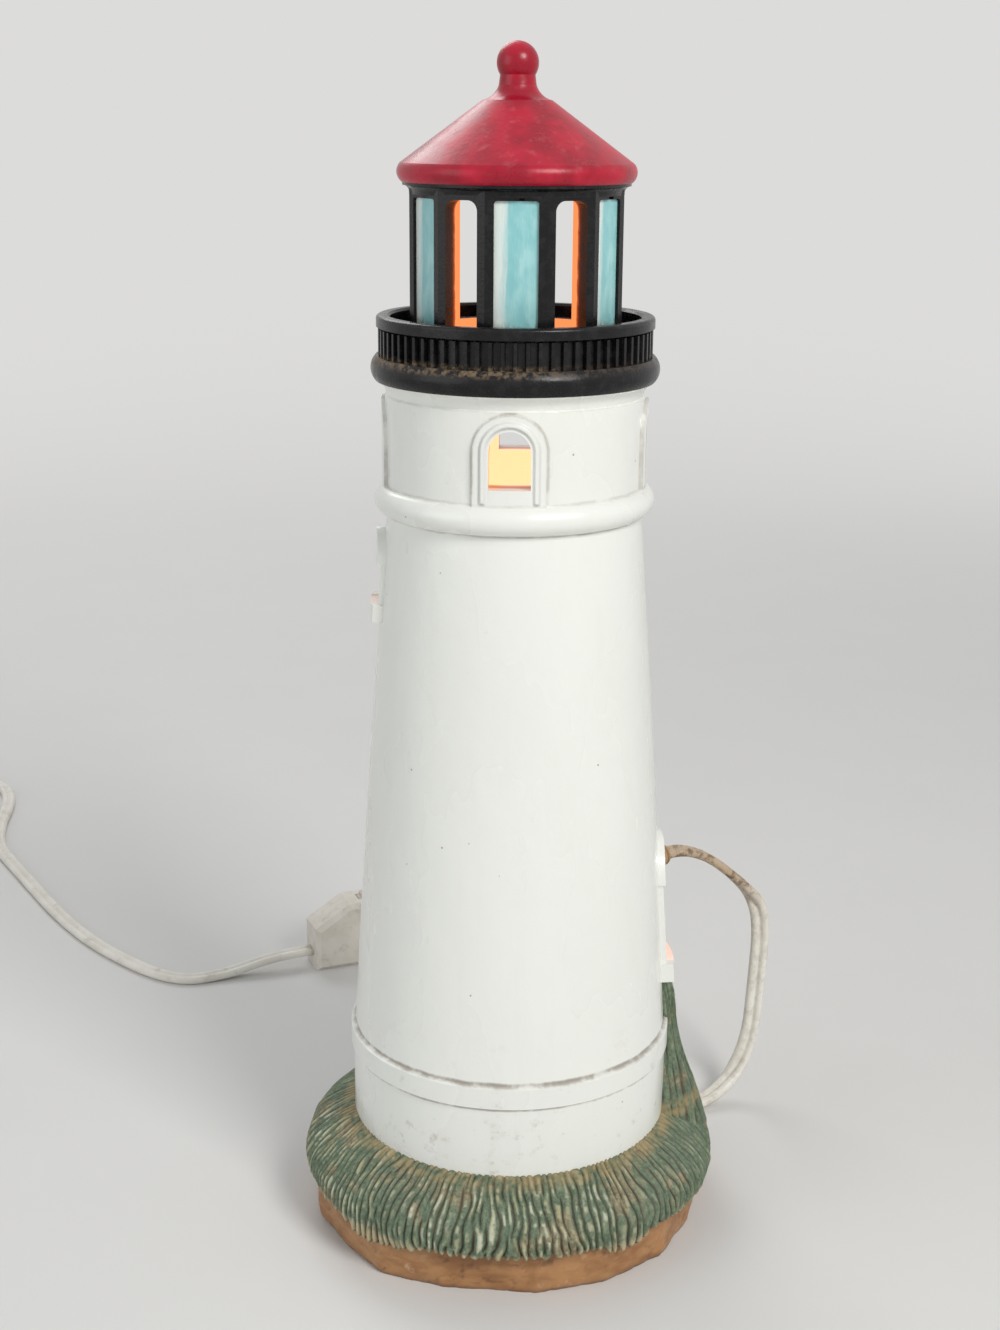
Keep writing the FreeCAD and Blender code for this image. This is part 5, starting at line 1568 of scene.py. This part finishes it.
@dataclass
class Stage:
    """Camera, lamps, world and floor.

    Attributes:
        lamps: The studio lamps.
        target: What they point at.
        floor_front: Where the floor ends in front, in millimetres.
        floor_side: How far it reaches to each side.
        sweep_start: Where it begins to rise behind.
        sweep_radius: How wide that curve is.
        sweep_top: How high the backdrop stands.
        sweep_steps: How many steps the curve has.
    """

    lamps: tuple[Softbox, ...] = SOFTBOXES
    target: Point = (0.0, 0.0, 0.14)
    floor_front: float = -3000.0
    floor_side: float = 3600.0
    sweep_start: float = 1000.0
    sweep_radius: float = 900.0
    sweep_top: float = 3200.0
    sweep_steps: int = 24

    def camera(self) -> None:
        """Puts the camera where the photograph was taken from."""
        data = bpy.data.cameras.new("view")
        data.sensor_fit = "VERTICAL"
        data.sensor_height = 36.0
        data.lens = LENS_MM
        data.clip_start = 0.01
        data.clip_end = 50.0
        right, up = Vector(VIEW_RIGHT).normalized(), Vector(VIEW_UP).normalized()
        back = right.cross(up).normalized()
        turn = Matrix((right, up, back)).transposed().to_4x4()
        camera = bpy.data.objects.new("view", data)
        camera.matrix_world = Matrix.Translation(Vector(CAMERA_AT)) @ turn
        bpy.context.scene.collection.objects.link(camera)
        bpy.context.scene.camera = camera

    def lights(self) -> None:
        """Puts up the lamps."""
        for lamp in self.lamps:
            data = bpy.data.lights.new(lamp.name, "AREA")
            data.shape = "SQUARE"
            data.size = lamp.size
            data.energy = lamp.watts
            data.color = lamp.tint
            light = bpy.data.objects.new(lamp.name, data)
            light.location = lamp.at
            toward = Vector(self.target) - Vector(lamp.at)
            light.rotation_euler = toward.to_track_quat("-Z", "Y").to_euler()
            bpy.context.scene.collection.objects.link(light)

    def world(self) -> None:
        """Lights the scene evenly and shows a pale background."""
        world = bpy.data.worlds.new("studio")
        world.use_nodes = True
        bpy.context.scene.world = world
        graph = Graph(world.node_tree)
        shown = graph.ramp(graph.unshaded(), 0.0, 1.0, 0.40, 0.9, Blend.EVEN)
        sky = graph.add("ShaderNodeBackground", None,
                        {"Color": (0.95, 0.96, 0.98), "Strength": shown})
        graph.add("ShaderNodeOutputWorld", None, {"Surface": sky})

    def floor(self) -> None:
        """Lays the pale floor, which curves up into a backdrop far behind."""
        start, radius = self.sweep_start, self.sweep_radius
        profile = [(self.floor_front, 0.0), (start, 0.0)]
        for step in range(1, self.sweep_steps + 1):
            angle = math.radians(90 * step / self.sweep_steps)
            profile.append((start + radius * math.sin(angle), radius - radius * math.cos(angle)))
        profile.append((start + radius, self.sweep_top))
        sides = (-self.floor_side, self.floor_side)
        points = [(x, y, z) for y, z in profile for x in sides]
        faces = [(2 * n, 2 * n + 1, 2 * n + 3, 2 * n + 2) for n in range(len(profile) - 1)]
        floor = mesh_object("floor", np.array(points), faces)
        material, graph = new_material("pale_floor")
        at = graph.place()
        x, y, _ = graph.parts(at)
        cloud = graph.cloud(at, 60.0, 3.0)
        paint = graph.skin(
            Base_Color=graph.mix(cloud, (0.70, 0.695, 0.68), (0.73, 0.725, 0.71)),
            Roughness=0.65,
        )
        plain_light = graph.add("ShaderNodeEmission", None, {"Color": (0.72, 0.715, 0.705)})
        far = graph.ramp((x * x + y * y) ** 0.5, 420.0, 1500.0) * graph.unshaded()
        mixed = graph.add("ShaderNodeMixShader", None, {0: far, 1: paint, 2: plain_light})
        graph.add("ShaderNodeOutputMaterial", None, {"Surface": mixed})
        floor.data.materials.append(material)
        floor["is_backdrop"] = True

    def build(self) -> None:
        """Builds the stage."""
        bpy.context.scene.view_settings.view_transform = "Standard"
        self.camera()
        self.lights()
        self.world()
        self.floor()


def plain(value: object) -> object:
    """Turns vectors into lists of numbers.

    Args:
        value: A number, or anything that holds numbers.

    Returns:
        The same in plain lists.
    """
    if isinstance(value, dict):
        return {key: plain(inner) for key, inner in value.items()}
    if isinstance(value, (int, float, str)):
        return value
    return [plain(inner) for inner in value]


def main() -> None:
    """Builds the scene round the frame and measures the bounds of the frame and of the scene."""
    logging.basicConfig(level=logging.INFO, format="%(name)s: %(message)s")
    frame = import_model()
    sizes = {"frame": plain(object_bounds())}
    nodes = frame["nodes"]
    for assembly in (Stage(), Supply(nodes), Plinth(), Castings(nodes), Lamp(nodes)):
        assembly.build()
        LOG.info("built %s", type(assembly).__name__)
    sizes["scene"] = plain(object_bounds())


if __name__ == "__main__":
    main()
